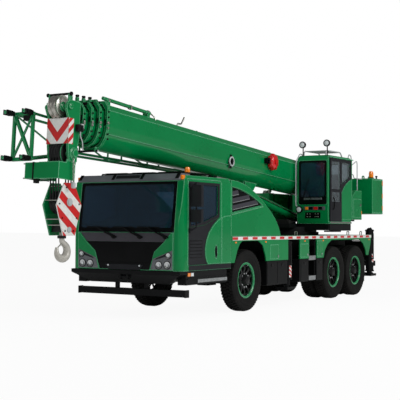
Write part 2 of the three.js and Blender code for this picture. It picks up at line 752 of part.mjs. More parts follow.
const spindleBore = spindleRadius + seatGap + 0.4;

function frontWheel() {
  return turned([[0, 150], [80, 150], [90, 95], [150, 90], [170, 60], [330, 60],
    [rimRadius, 115], [rimRadius, -115], [330, -100], [330, 40], [90, 40], [90, -70],
    [spindleBore, -70], [spindleBore, 125], [0, 125]].reverse());
}

const rearBore = 64 + seatGap + 0.6;

function twinWheel() {
  const c = twinPitch / 2;
  return turned([[0, 268], [80, 268], [90, 200], [150, 190], [165, 130], [330, 130],
    [rimRadius, c + 115], [rimRadius, -c - 115], [330, -c - 100], [330, 105],
    [100, 105], [100, -100], [rearBore, -100], [rearBore, 232], [0, 232]].reverse());
}

function twinTyres() {
  const c = twinPitch / 2;
  const bead = rimRadius + beadGap;
  const ring = (centre) => turned([...tyreRing(centre)]);
  const spacer = turned([[bead, -c + 100], [bead + 14, -c + 100], [bead + 14, c - 100],
    [bead, c - 100], [bead, -c + 100]]);
  return join(ring(c), ring(-c), spacer);
}

for (const [side, sign] of [['left', 1], ['right', -1]]) {
  const front = placed(at(frontAxleBack), sign * tyreCentre, tyreRadius);
  const wheel = sign > 0 ? frontWheel() : mirrored(frontWheel());
  node(`front_${side}_tyre`, turned(tyreRing(0)), 'tyre', front);
  node(`front_${side}_wheel`, wheel, 'black', front);
  [firstRearAxleBack, secondRearAxleBack].forEach((back, index) => {
    const rear = placed(at(back), sign * twinCentre, tyreRadius);
    const twin = sign > 0 ? twinWheel() : mirrored(twinWheel());
    node(`rear_${side}_tyres_${index + 1}`, twinTyres(), 'tyre', rear);
    node(`rear_${side}_wheel_${index + 1}`, twin, 'black', rear);
  });
}

// ---------------------------------------------------------------- outriggers
// A sliding beam with its vertical jack tube, and the jack's leg with its pad.

const jackCentre = half - jackInset;

function outriggerBeam(jackTop) {
  const bottom = frameBottom + seatGap;
  const beam = box(-beamWidth / 2, beamWidth / 2, -boxHalfLength + 30, jackCentre - 30,
    bottom, bottom + beamHeight);
  const tube = rod('z', jackRadius, jackBottom, jackTop, { y: jackCentre });
  const bore = rod('z', jackLegRadius + 0.9, jackBottom - 10, jackTop - 30, { y: jackCentre });
  return cut(join(beam, tube), bore);
}

function jackLeg(jackTop, padBottom) {
  const leg = rod('z', jackLegRadius, padBottom + 30, jackTop - 60, { y: jackCentre });
  const pad = box(-190, 190, jackCentre - 180, half - 5, padBottom, padBottom + 60);
  return join(leg, pad);
}

for (const [end, frontBack, jackTop, padBottom] of [
  ['front', frontBoxBack, frontJackTop, frontPadBottom],
  ['rear', rearBoxBack, rearJackTop, rearPadBottom]]) {
  for (const [side, sign] of [['left', 1], ['right', -1]]) {
    const group = placed(at(frontBack + tunnelCentre[side]), 0, 0);
    const beam = outriggerBeam(jackTop);
    const leg = jackLeg(jackTop, padBottom);
    node(`${end}_${side}_outrigger`, sign > 0 ? beam : mirrored(beam), 'black', group);
    node(`${end}_${side}_jack`, sign > 0 ? leg : mirrored(leg), 'steel', group);
  }
}

// ---------------------------------------------------------------- slewing platform
// Ring, platform, the boom's two pivot cheeks, the luffing cylinder's lugs and
// the brackets that carry the cab, the tank and the counterweight.

const cheekInner = boomHalfWidth + cheekRoom;
const cheekOuter = cheekInner + cheekThickness;
const eyeRadius = 85;
const eyeHalf = 100;
const lugThickness = 45;
const pinRadius = 40;
const cabBracketTop = platformTop - seatGap;

function turntable() {
  const ring = rod('z', slewRingRadius, pedestalTop + seatGap, platformBottom + 20,
    { x: at(slewBack) }, 32);
  const plate = boxBack(6150, counterweightFrontBack + 20, -cheekOuter, cheekOuter,
    platformBottom, platformTop);
  const cheekOutline = backOutline([[8150, platformTop - 20], [8750, pivotHeight + 90],
    [pivotBack - 70, pivotHeight + 170], [pivotBack + 70, pivotHeight + 170],
    [pivotBack + 180, pivotHeight + 60], [counterweightFrontBack + 20, platformTop - 20]]);
  const cheek = sidePlate(cheekOutline, cheekInner, cheekOuter);
  const pin = rod('y', pinRadius, -cheekInner - 10, cheekInner + 10,
    { x: at(pivotBack), z: pivotHeight });
  const lugOutline = backOutline([[luffBaseBack - 150, platformTop - 10],
    [luffBaseBack - 70, luffBaseHeight + 70], [luffBaseBack + 70, luffBaseHeight + 70],
    [luffBaseBack + 150, platformTop - 10]]);
  const lugInner = eyeHalf + runningGap;
  const lug = sidePlate(lugOutline, lugInner, lugInner + lugThickness);
  const lugPin = rod('y', pinRadius, -lugInner - 10, lugInner + 10,
    { x: at(luffBaseBack), z: luffBaseHeight });
  const sideBracket = boxBack(craneCabFrontBack + 60, craneCabFrontBack + craneCabLength - 30,
    cheekOuter - 40, craneCabOuter - 20, platformBottom - 60, cabBracketTop);
  const tail = boxBack(counterweightFrontBack - 200, counterweightRearBack - 120,
    -cheekOuter, cheekOuter, 1880, counterweightBottom - seatGap);
  return join(ring, plate, cheek, mirrored(cheek), pin, lug, mirrored(lug), lugPin,
    sideBracket, mirrored(sideBracket), tail);
}

node('turntable', turntable(), 'darkGreen');

// ---------------------------------------------------------------- crane cab
// The operator's cab, hollow, with a recess for its windscreen and two rails on
// its outer side that the sliding door runs on.

const craneCabRearBack = craneCabFrontBack + craneCabLength;
const craneScreen = { inner: craneCabInner + 50, outer: craneCabOuter - 45, bottom: 2270, top: 3400 };
const craneDoor = { frontBack: 6660, rearBack: 7340, bottom: 1850, top: 3390, thickness: 32 };
const rearPost = 45;       // between the sliding door's hole and the rear side window
const railFrontInset = 40;
const doorRail = { bottom: platformTop, top: craneDoor.bottom - seatGap, out: half - 6 };

function craneCabSolid(inset) {
  const f = craneCabFrontBack + inset;
  const r = craneCabRearBack - inset;
  const bottom = platformTop + inset;
  const roof = craneCabRoof - inset;
  const side = sidePlate(backOutline([[f + 40, bottom], [f, 1950], [f, 3330], [f + 90, roof],
    [r - 60, roof], [r, 3390], [r, 1960], [r - 120, bottom]]),
  craneCabInner + inset, craneCabOuter - inset);
  const inner = craneCabInner + inset;
  const outer = craneCabOuter - inset;
  const front = frontPlate([[inner, bottom], [outer, bottom], [outer, roof - 60],
    [outer - 50, roof], [inner + 40, roof], [inner, roof - 50]], at(r), at(f));
  return side.intersect(front);
}

function craneCab() {
  const shell = cut(craneCabSolid(0), craneCabSolid(craneCabWall));
  const s = craneScreen;
  const f = craneCabFrontBack;
  const screenSeat = boxBack(f - 10, f + 14, s.inner, s.outer, s.bottom, s.top - 80);
  const screenHole = boxBack(f - 10, f + 60, s.inner + 30, s.outer - 30, s.bottom + 30,
    s.top - 110);
  const doorHole = boxBack(craneDoor.frontBack + 40, craneDoor.rearBack - 40, craneCabOuter - 60,
    craneCabOuter + 10, craneDoor.bottom + 40, craneDoor.top - 40);
  const sideWindow = boxBack(craneDoor.rearBack + rearPost, craneCabRearBack - 80,
    craneCabOuter - 60, craneCabOuter + 10, 2760, 3330);
  const innerWindow = boxBack(f + 120, craneCabRearBack - 120, craneCabInner - 10,
    craneCabInner + 60, 2450, 3300);
  const rearWindow = boxBack(craneCabRearBack - 60, craneCabRearBack + 10, craneCabInner + 120,
    craneCabOuter - 120, 2700, 3300);
  const bottomRail = boxBack(f + railFrontInset, craneCabRearBack - 130, craneCabOuter - 20, doorRail.out,
    doorRail.bottom + 5, doorRail.top);
  const topRail = boxBack(f + railFrontInset, craneCabRearBack - 20, craneCabOuter - 30, doorRail.out,
    craneDoor.top + runningGap, craneDoor.top + 28);
  return join(cut(shell, screenSeat, screenHole, doorHole, sideWindow, innerWindow, rearWindow),
    bottomRail, topRail);
}

node('crane_cab', craneCab(), 'green');

node('crane_cab_windscreen', boxBack(craneCabFrontBack + 3, craneCabFrontBack + 14 - seatGap,
  craneScreen.inner + 3, craneScreen.outer - 3, craneScreen.bottom + 3, craneScreen.top - 83),
'glass');

function craneCabDoor() {
  const y0 = craneCabOuter + runningGap;
  const slab = boxBack(craneDoor.frontBack, craneDoor.rearBack, y0, y0 + craneDoor.thickness,
    craneDoor.bottom, craneDoor.top);
  const upper = boxBack(craneDoor.frontBack + 70, craneDoor.rearBack - 90, y0 - 10,
    y0 + 100, 2640, 3310);
  const lower = boxBack(craneDoor.frontBack + 70, craneDoor.rearBack - 90, y0 - 10,
    y0 + 100, 2330, 2570);
  return cut(slab, upper, lower);
}

node('crane_cab_door', craneCabDoor(), 'darkGrey');

const operatorSeatFront = craneCabFrontBack + 550;
const operatorSeatDepth = 610;

function operatorSeat() {
  const floor = platformTop + craneCabWall + seatGap;
  const middle = (craneCabInner + craneCabOuter) / 2;
  const front = operatorSeatFront;
  const rear = operatorSeatFront + operatorSeatDepth;
  const armrests = [-1, 1].map((side) => boxBack(front - 50, rear - 120,
    middle + side * 270, middle + side * 330, floor + 590, floor + 680));
  return join(
    boxBack(front + 100, rear - 10, middle - 150, middle + 150, floor, floor + 360),
    boxBack(front, rear, middle - 260, middle + 260, floor + 340, floor + 490),
    boxBack(rear - 120, rear + 40, middle - 250, middle + 250, floor + 460, floor + 1210),
    boxBack(rear - 200, rear - 60, middle - 330, middle + 330, floor + 460, floor + 660),
    ...armrests,
  );
}

node('operator_seat', operatorSeat(), 'fabric');

// The hydraulic tank stands on the bracket opposite the cab, and the cable and
// tool cabinet hangs on the left cheek behind it.
const tankTop = 2560;
node('hydraulic_tank', boxBack(craneCabFrontBack + 100, craneCabRearBack - 20, -craneCabOuter,
  -craneCabInner - 60, platformTop, tankTop), 'green');

const cabinet = { frontBack: craneCabRearBack + 40, length: 610, bottom: 1910, top: 2660 };

function toolCabinet() {
  const { frontBack: front, length, bottom, top } = cabinet;
  const body = boxBack(front, front + length, cheekOuter + seatGap, craneCabOuter, bottom, top);
  const slant = sidePlate(backOutline([[front - 10, top - 160], [front - 10, top + 40],
    [front + 290, top + 40]]), cheekOuter - 10, craneCabOuter + 10);
  return cut(body, slant);
}

node('tool_cabinet', toolCabinet(), 'green');

// ---------------------------------------------------------------- counterweight
// A cast block across the tail, with a well for the two winches.

const wellHalf = 420;
const wellBottom = counterweightBottom + 180;

function counterweight() {
  const chamfer = 90;
  const f = at(counterweightFrontBack);
  const r = at(counterweightRearBack);
  const h = counterweightHalf;
  const plan = [[f, -h], [f, h], [r + chamfer, h], [r, h - chamfer], [r, -h + chamfer],
    [r + chamfer, -h]];
  const body = planPlate(plan, counterweightBottom, counterweightTop);
  const well = boxBack(counterweightFrontBack - 10, counterweightRearBack - 120,
    -wellHalf, wellHalf, wellBottom, counterweightTop + 10);
  return cut(body, well);
}

node('counterweight', counterweight(), 'green');

const drumBases = [{ setBack: 230, radius: 200 }, { setBack: 560, radius: 130 }];

function winches() {
  const base = boxBack(counterweightFrontBack + 40, counterweightRearBack - 140, -wellHalf + 20,
    wellHalf - 20, wellBottom + seatGap, wellBottom + 30);
  const drums = drumBases.flatMap(({ setBack, radius }) => {
    const back = counterweightFrontBack + setBack;
    const centre = { x: at(back), z: wellBottom + radius + 30 };
    const flanges = [-1, 1].map((side) =>
      rod('y', radius, side * 290, side * 320, centre, 16));
    const stands = [-1, 1].map((side) => boxBack(back - 60, back + 60,
      side * 330, side * 360, wellBottom + 20, centre.z + 60));
    const shaft = rod('y', 40, -360, 360, centre, 10);
    return [rod('y', radius * 0.7, -300, 300, centre, 12), ...flanges, ...stands, shaft];
  });
  return join(base, ...drums);
}

node('winches', winches(), 'black');

// ---------------------------------------------------------------- boom
// Modelled along its own axis from the pivot, then laid at its travel slope.
// The section's outline is flat on top and rounded below.

const boom = placed(at(pivotBack), 0, pivotHeight);
boom.rotation.y = -boomSlope;

function boomOutline(inset) {
  const w = boomHalfWidth - inset;
  const top = boomAbovePivot - inset;
  const bottom = -boomBelowPivot + inset;
  const side = [[w * 0.27, bottom], [w * 0.64, bottom + w * 0.2], [w * 0.89, bottom + w * 0.58],
    [w, bottom + w * 1.03], [w, top - 110], [w - 80, top]];
  return [...side, ...side.map(([y, z]) => [-y, z]).reverse()];
}

function sectionTube(index, tail, front) {
  const inset = index * boomStep;
  const outer = frontPlate(boomOutline(inset), tail, front);
  const inner = frontPlate(boomOutline(inset + boomWall), tail - 10, front + 10);
  return cut(outer, inner);
}

// The collar stiffens a section's mouth and stands above it as a lug.
function collar(index, front) {
  const inset = index * boomStep;
  const top = boomAbovePivot - inset;
  const lug = [[-90, top - 20], [-90, top + collarRise + 40], [90, top + collarRise + 40],
    [90, top - 20]];
  const ring = join(
    frontPlate(boomOutline(inset - collarRise), front - collarThickness, front),
    frontPlate(lug, front - collarThickness, front));
  return cut(ring, frontPlate(boomOutline(inset + boomWall), front - 100, front + 10));
}

// Wear pads under a section's tail, on the bottom of the section around it.
function wearPads(index, tail) {
  const bottom = -boomBelowPivot + index * boomStep;
  const reach = boomStep - boomWall - seatGap;
  return box(tail, tail + 120, -40, 40, bottom - reach, bottom + 2);
}

const boomTailTop = 350;
const eyeAlong = (() => {
  const ahead = pivotBack - luffEyeBack;
  const rise = luffEyeHeight - pivotHeight;
  return {
    u: ahead * Math.cos(boomSlope) + rise * Math.sin(boomSlope),
    v: -ahead * Math.sin(boomSlope) + rise * Math.cos(boomSlope),
  };
})();

function boomBase() {
  const tailOutline = [[boomTailTop, boomAbovePivot], [boomTailTop + 300, boomAbovePivot],
    [boomTailTop + 300, -boomBelowPivot], [0, -boomBelowPivot], [-180, -180], [-230, 0],
    [-180, 200]];
  const tail = sidePlate(tailOutline, -boomHalfWidth, boomHalfWidth);
  const tailRoom = frontPlate([[-boomHalfWidth + 25, -boomBelowPivot + 25],
    [boomHalfWidth - 25, -boomBelowPivot + 25], [boomHalfWidth - 25, boomAbovePivot - 25],
    [-boomHalfWidth + 25, boomAbovePivot - 25]], -60, boomTailTop + 310);
  const roomFloor = sidePlate([[-60, -boomBelowPivot], [-60, 230],
    [boomTailTop, boomAbovePivot - 25], [boomTailTop + 310, boomAbovePivot - 25],
    [boomTailTop + 310, -boomBelowPivot]], -boomHalfWidth, boomHalfWidth);
  const hubs = rod('y', 120, -cheekInner + seatGap, cheekInner - seatGap, {});
  const pinHole = rod('y', pinRadius + 1, -500, 500, {});
  const shape = frontPlate(boomOutline(0), -300, boomTailTop + 400);
  const shapedTail = join(tail.intersect(shape).subtract(tailRoom.intersect(roomFloor)), hubs);
  const tube = sectionTube(0, boomTailTop + 290, baseFront);
  const lugInner = eyeHalf + runningGap;
  const { u, v } = eyeAlong;
  const lugOutline = [[u - 330, -boomBelowPivot + 20], [u - 70, v - 60], [u + 60, v - 60],
    [u + 260, -boomBelowPivot + 20]];
  const lug = sidePlate(lugOutline, lugInner, lugInner + lugThickness);
  const lugBridge = join(
    box(u - 330, u - 250, -lugInner - 20, lugInner + 20, -boomBelowPivot - 40, -boomBelowPivot + 5),
    box(u + 180, u + 250, -lugInner - 20, lugInner + 20, -boomBelowPivot - 30, -boomBelowPivot + 5));
  const lugs = cut(join(lug, mirrored(lug), lugBridge),
    frontPlate(boomOutline(boomWall / 2), u - 600, u + 600));
  return cut(join(shapedTail, tube, collar(0, baseFront), lugs), pinHole);
}

node('boom_base', boomBase(), 'green', boom);

function innerSection(index) {
  const tail = 700 + 150 * index;
  const front = baseFront + collarPitch * index;
  return join(sectionTube(index, tail, front), collar(index, front), wearPads(index, tail));
}

for (const index of [1, 2, 3]) {
  node(`boom_section_${index + 1}`, innerSection(index), 'green', boom);
}

// The fifth section carries the head: two side plates, the upper guide sheave
// on top, the hoist sheaves below and the cross box that shields the ropes.
const headInner = boomHalfWidth - 4 * boomStep + 35;
const headOuter = headInner + 40;
const upperSheave = { u: 10970, v: 345, radius: 175 };
const markerPlateU = 10955;
const crossBox = { tail: 10740, nose: 11150, bottom: -905, top: -615, reach: 530 };

function boomHead() {
  const front = baseFront + collarPitch * 4;
  const bulkhead = front - 100;
  const innerTop = boomAbovePivot - 4 * boomStep;
  const plateOutline = [[bulkhead, innerTop + 60], [bulkhead + 150, innerTop + 70],
    [upperSheave.u - 30, upperSheave.v + 115], [upperSheave.u + 50, upperSheave.v + 70],
    [upperSheave.u + 75, upperSheave.v - 60], [markerPlateU + 20, 150],
    [markerPlateU + 5, -330], [markerPlateU - 40, -580],
    [lowerSheaveU - 110, -580], [bulkhead + 30, -320], [bulkhead, -200]];
  const plate = sidePlate(plateOutline, headInner, headOuter);
  const ringOuter = frontPlate([[-headOuter, -200], [headOuter, -200],
    [headOuter, innerTop + 60], [-headOuter, innerTop + 60]], bulkhead, bulkhead + 60);
  const hollow = frontPlate(boomOutline(4 * boomStep + boomWall), 0, bulkhead + 100);
  const upperCentre = { x: upperSheave.u, z: upperSheave.v };
  const upperPin = rod('y', 30, -headOuter - 30, headOuter + 30, upperCentre, 12);
  const upperWheel = rod('y', upperSheave.radius, -80, 80, upperCentre, 20);
  const lowerCentre = { x: lowerSheaveU, z: lowerSheaveV };
  const lowerPin = rod('y', 55, -headOuter - 50, headOuter + 50, lowerCentre, 12);
  const sheaveSpan = ropePitch * (ropeFalls - 1) / 2 + 25;
  const lowerWheels = rod('y', sheaveRadius, -sheaveSpan, sheaveSpan, lowerCentre, 20);
  const markerPlate = box(markerPlateU, markerPlateU + 20, -headOuter, headOuter, -290, 150);
  const keeperPosts = [-1, 1].map((side) => box(upperSheave.u - 20, upperSheave.u + 20,
    side * (headInner + 5), side * (headOuter - 5), upperSheave.v, upperSheave.v + 225));
  const keeperBar = rod('y', 16, -headOuter - 10, headOuter + 10,
    { x: upperSheave.u, z: upperSheave.v + 215 }, 12);
  const { tail, nose, bottom, top, reach } = crossBox;
  const crossSides = [-1, 1].map((side) => sidePlate([[tail - 20, bottom], [nose, bottom],
    [nose, top], [markerPlateU + 5, top], [markerPlateU - 20, top + 55],
    [lowerSheaveU - 110, top + 55], [tail - 20, top - 25]],
  side * headInner, side * (headInner + 25)));
  const crossFront = box(nose - 25, nose, -headInner - 25, headInner + 25, bottom, top);
  const crossArm = cut(box(tail, nose, -reach, -headInner, bottom + 5, top - 5),
    box(tail + 25, nose - 25, -reach + 25, -headInner - 40, bottom - 5, top - 25));
  return join(sectionTube(4, 1300, front), collar(4, front), wearPads(4, 1300),
    cut(ringOuter, hollow), plate, mirrored(plate), upperPin, upperWheel, lowerPin, lowerWheels,
    markerPlate, ...keeperPosts, keeperBar, ...crossSides, crossFront, crossArm);
}

node('boom_head', boomHead(), 'green', boom);

// ---------------------------------------------------------------- fly jib
// A lattice jib folded back along the boom's right side, held by two brackets.

const bracketPlaces = [9700, 5300];
const bracketLength = 300;

function flyJib() {
  const inner = -(boomHalfWidth + collarRise + jibTube + 20);
  const root = { top: 230, bottom: jibRootBottom, inner, outer: inner - 420 };
  const tip = { top: 60, bottom: -150, inner, outer: inner - 200 };
  const bays = 5;
  // The lower chord rises steeply in the first bay and gently after it.
  const rise = (f, level) => (level === 'top' ? THREE.MathUtils.lerp(root.top, tip.top, f)
    : f < 1 / bays ? THREE.MathUtils.lerp(root.bottom, jibKneeBottom, f * bays)
      : THREE.MathUtils.lerp(jibKneeBottom, tip.bottom, (f * bays - 1) / (bays - 1)));
  const corner = (f, side, level) => [
    jibRootU + (jibTipU - jibRootU) * f,
    THREE.MathUtils.lerp(root[side], tip[side], f),
    rise(f, level)];
  const sides = ['inner', 'outer'];
  const levels = ['top', 'bottom'];
  const chords = sides.flatMap((side) => [
    strut(corner(0, side, 'top'), corner(1, side, 'top'), jibTube, 6),
    strut(corner(0, side, 'bottom'), corner(1 / bays, side, 'bottom'), jibTube, 6),
    strut(corner(1 / bays, side, 'bottom'), corner(1, side, 'bottom'), jibTube, 6),
  ]);
  const lacing = [];
  for (let bay = 0; bay <= bays; bay++) {
    const f = bay / bays;
    const next = Math.min((bay + 1) / bays, 1);
    const frame = [
      [corner(f, 'inner', 'top'), corner(f, 'inner', 'bottom')],
      [corner(f, 'outer', 'top'), corner(f, 'outer', 'bottom')],
      [corner(f, 'inner', 'top'), corner(f, 'outer', 'top')],
      [corner(f, 'inner', 'bottom'), corner(f, 'outer', 'bottom')],
    ];
    lacing.push(...frame.map(([from, to]) => strut(from, to, jibTube * 0.9, 4)));
    if (bay < bays) {
      lacing.push(strut(corner(f, 'outer', 'top'), corner(next, 'outer', 'bottom'),
        jibTube * 0.7, 4));
    }
  }
  const endDiagonal = strut(corner(0, 'inner', 'top'), corner(0, 'outer', 'bottom'), jibTube * 0.9);
  const forks = sides.flatMap((side) => levels.map((level) => {
    const [u, y, v] = corner(0, side, level);
    return box(u - 20, u + forkReach, y - jibTube, y + jibTube, v - jibTube, v + jibTube);
  }));
  const brackets = bracketPlaces.map((u) => {
    const f = (jibRootU - u) / (jibRootU - jibTipU);
    const level = THREE.MathUtils.lerp(root.top, tip.top, f);
    return box(u, u + bracketLength, inner - 10, -boomHalfWidth - seatGap, level - 30,
      level + 10);
  });
  return join(...chords, ...lacing, endDiagonal, ...forks, ...brackets);
}

node('fly_jib', flyJib(), 'green', boom);

// ---------------------------------------------------------------- luffing cylinder
// Barrel on the platform's lugs, rod to the eye under the boom. Both are made
// along the cylinder's own axis.

const luffRun = luffBaseBack - luffEyeBack;
const luffRise = luffEyeHeight - luffBaseHeight;
const luffLength = Math.hypot(luffRun, luffRise);
const barrelRadius = 110;
const luffRodRadius = 75;
const barrelEnd = luffLength - 200;
const luff = placed(at(luffBaseBack), 0, luffBaseHeight);
luff.rotation.y = -Math.atan2(luffRise, luffRun);

function luffBarrel() {
  const eye = rod('y', eyeRadius, -eyeHalf, eyeHalf, {});
  const neck = rod('x', eyeRadius, 40, 190, {}, 16);
  const barrel = rod('x', barrelRadius, 170, barrelEnd, {});
  const bore = rod('x', luffRodRadius + 0.9, 260, barrelEnd + 10, {});
  const pinHole = rod('y', pinRadius + 1, -200, 200, {});
  return cut(join(cut(barrel, bore), neck, eye), pinHole);
}

function luffRod() {
  const shaft = rod('x', luffRodRadius, 280, luffLength - 40, {});
  const eye = rod('y', eyeRadius - 10, -eyeHalf, eyeHalf, { x: luffLength });
  return join(shaft, eye);
}

node('luff_cylinder', luffBarrel(), 'black', luff);
node('luff_rod', luffRod(), 'chrome', luff);

// ---------------------------------------------------------------- hook block
// Hangs plumb from the head's lower sheaves on its rope falls.

const hookBlockX = at(pivotBack) + aheadOfPivot(lowerSheaveU, lowerSheaveV);
const headSheaveHeight = heightOnBoom(lowerSheaveU, lowerSheaveV);

function hookBlock() {
  const top = -blockTopDrop;
  const plateHeight = 900;
  const plateInner = 135;
  const plateOuter = 160;
  const outline = [[-130, top], [130, top], [330, top - 380], [150, top - plateHeight],
    [-150, top - plateHeight], [-330, top - 380]];
  const plate = sidePlate(outline, plateInner, plateOuter);
  const sheaveZ = top - 330;
  const sheaves = rod('y', sheaveRadius, -plateInner + 15, plateInner - 15, { z: sheaveZ }, 20);
  const axle = rod('y', 50, -plateOuter - 30, plateOuter + 30, { z: sheaveZ }, 12);
  const crossHead = box(-110, 110, -plateInner - 5, plateInner + 5, top - plateHeight + 60,
    top - plateHeight + 200);
  const shank = rod('z', 45, top - plateHeight - 90, top - plateHeight + 80, {}, 16);
  const outerFalls = ropePitch * (ropeFalls - 1) / 2;
  const falls = [-1, 1].flatMap((side) => [-outerFalls, outerFalls].map((y) => {
    const x = side * (sheaveRadius + ropeRadius + seatGap);
    return strut([x, y, sheaveZ], [x, y, 0], ropeRadius, 8);
  }));
  const ropeSeats = [-1, 1].map((side) => box(side * (sheaveRadius - 20),
    side * (sheaveRadius + ropeRadius + 8), -outerFalls - 12, outerFalls + 12,
    sheaveZ - 40, sheaveZ + 10));
  const hookPath = new THREE.CatmullRomCurve3([
    [0, -60], [-20, -110], [-95, -150], [-150, -240], [-120, -350], [0, -400], [110, -350],
    [130, -270], [95, -215],
  ].map(([x, z]) => new THREE.Vector3(x, 0, top - plateHeight + z)));
  const section = new THREE.Shape();
  section.absarc(0, 0, 42, 0, Math.PI * 2);
  const settings = { steps: 14, extrudePath: hookPath, bevelEnabled: false, curveSegments: 4 };
  const hook = solid(new THREE.ExtrudeGeometry(section, settings));
  return join(plate, mirrored(plate), sheaves, axle, crossHead, shank, ...falls, ...ropeSeats, hook);
}

node('hook_block', hookBlock(), 'steel', placed(hookBlockX, 0, headSheaveHeight));

export default crane;
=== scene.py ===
"""The looks of a three-axle mobile crane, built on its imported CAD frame.

Metres, +X forward, +Y the vehicle's left, +Z up, with the ground at z = 0. The file
follows the vehicle as it is put together, from the studio floor to the hook.
"""

import functools
import math

import bmesh
import bpy
from mathutils import Matrix, Vector


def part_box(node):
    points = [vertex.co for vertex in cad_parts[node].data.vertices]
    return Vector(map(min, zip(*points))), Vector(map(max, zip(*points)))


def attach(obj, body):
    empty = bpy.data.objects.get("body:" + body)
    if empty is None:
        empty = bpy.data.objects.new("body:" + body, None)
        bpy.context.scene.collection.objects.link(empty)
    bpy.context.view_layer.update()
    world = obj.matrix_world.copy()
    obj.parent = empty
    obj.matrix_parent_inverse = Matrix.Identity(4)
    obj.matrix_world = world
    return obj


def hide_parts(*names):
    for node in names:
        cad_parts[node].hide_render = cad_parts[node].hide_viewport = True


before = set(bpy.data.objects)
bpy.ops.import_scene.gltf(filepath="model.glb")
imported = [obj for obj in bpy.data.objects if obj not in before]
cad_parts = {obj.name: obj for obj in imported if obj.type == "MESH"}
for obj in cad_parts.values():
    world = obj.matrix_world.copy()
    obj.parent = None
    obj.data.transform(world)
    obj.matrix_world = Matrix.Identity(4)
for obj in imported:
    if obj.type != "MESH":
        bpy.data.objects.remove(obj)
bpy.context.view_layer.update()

# ---------------------------------------------------------------- studio
# A pale floor under a white surround, a broad soft light on the vehicle's left
# and a weaker one ahead of it, as for a catalogue picture.


def linear(colour):
    """An sRGB hex colour as the linear RGBA that shaders take."""
    channels = [int(colour[start:start + 2], 16) / 255 for start in (1, 3, 5)]
    return [c / 12.92 if c <= 0.04045 else ((c + 0.055) / 1.055) ** 2.4 for c in channels] + [1.0]


def add(tree, kind, values=(), links=(), **settings):
    """Adds a shader node with its settings, its input values and its links."""
    made = tree.nodes.new("ShaderNode" + kind)
    for name, value in settings.items():
        setattr(made, name, value)
    for socket, value in dict(values).items():
        made.inputs[socket].default_value = value
    for socket, source in dict(links).items():
        tree.links.new(source, made.inputs[socket])
    return made


def seen_directly(tree):
    """One for rays from the camera or through glass, and nought for others."""
    path = add(tree, "LightPath")
    return add(tree, "Math", operation="MAXIMUM", links={0: path.outputs["Is Camera Ray"],
            1: path.outputs["Is Transmission Ray"]}).outputs[0]


surround_light = 0.42

world = bpy.data.worlds.new("studio surround")
bpy.context.scene.world = world
world.use_nodes = True
sky = world.node_tree.nodes["Background"]
level = add(world.node_tree, "MapRange", {"To Min": surround_light, "To Max": 1.0},
    {"Value": seen_directly(world.node_tree)})
sky.inputs["Color"].default_value = (1.0, 1.0, 1.0, 1.0)
# Mirror-like faces see a dimmer surround, so that only the lamps draw bright edges.
dimmer = add(world.node_tree, "MapRange", {"To Min": 1.0, "To Max": 0.3},
    {"Value": add(world.node_tree, "LightPath").outputs["Is Glossy Ray"]})
strength = add(world.node_tree, "Math", operation="MULTIPLY", links={0: level.outputs["Result"],
        1: dimmer.outputs["Result"]})
world.node_tree.links.new(strength.outputs[0], sky.inputs["Strength"])

floor_mesh = bpy.data.meshes.new("floor")
floor_reach = 150.0
floor_mesh.from_pydata([(-floor_reach, -floor_reach, 0), (floor_reach, -floor_reach, 0),
        (floor_reach, floor_reach, 0), (-floor_reach, floor_reach, 0)], [], [(0, 1, 2, 3)])
floor = bpy.data.objects.new("floor", floor_mesh)
bpy.context.scene.collection.objects.link(floor)

floor_paint = bpy.data.materials.new("painted studio floor")
floor_paint.use_nodes = True
tree = floor_paint.node_tree
matt = tree.nodes["Principled BSDF"]
matt.inputs["Roughness"].default_value = 0.9
matt.inputs["Specular IOR Level"].default_value = 0.1
place = add(tree, "TexCoord")
mottle = add(tree, "TexNoise", {"Scale": 0.6, "Detail": 4.0}, {"Vector": place.outputs["Object"]})
shade = add(tree, "ValToRGB", links={"Fac": mottle.outputs["Fac"]})
shade.color_ramp.elements[0].color = linear("#f4f4f3")
shade.color_ramp.elements[1].color = linear("#fafaf9")
tree.links.new(shade.outputs["Color"], matt.inputs["Base Color"])
glow = add(tree, "Emission", {"Color": (1.0, 1.0, 1.0, 1.0), "Strength": 1.0})
share = add(tree, "Math", {1: 0.93}, {0: seen_directly(tree)}, operation="MULTIPLY")
blend = add(tree, "MixShader", links={0: share.outputs[0], 1: matt.outputs[0], 2: glow.outputs[0]})
tree.links.new(blend.outputs[0], tree.nodes["Material Output"].inputs["Surface"])
floor_mesh.materials.append(floor_paint)


def soft_light(name, place, target, size, power):
    """A rectangular lamp of a size in metres and a power in watts, hung to face a target."""
    lamp = bpy.data.lights.new(name, "AREA")
    lamp.shape = "RECTANGLE"
    lamp.size, lamp.size_y = size
    lamp.energy = power
    made = bpy.data.objects.new(name, lamp)
    bpy.context.scene.collection.objects.link(made)
    made.location = place
    made.rotation_euler = (Vector(target) - Vector(place)).to_track_quat("-Z", "Y").to_euler()
    return made


soft_light("left key light", (1.0, 15.0, 10.0), (0.0, 0.0, 1.6), (14.0, 6.0), 1500.0)
soft_light("front fill light", (17.0, -3.0, 8.0), (3.0, 0.0, 1.6), (8.0, 6.0), 260.0)

# ---------------------------------------------------------------- camera
# Stood ahead of the vehicle's left front corner at a person's eye height, with a
# lens of short telephoto length.

camera_place = Vector((18.522, 10.6245, 1.7231))
camera_heading = 3.6931
camera_rise = 0.0273
camera_roll = 0.0053
camera_lens = 86.35

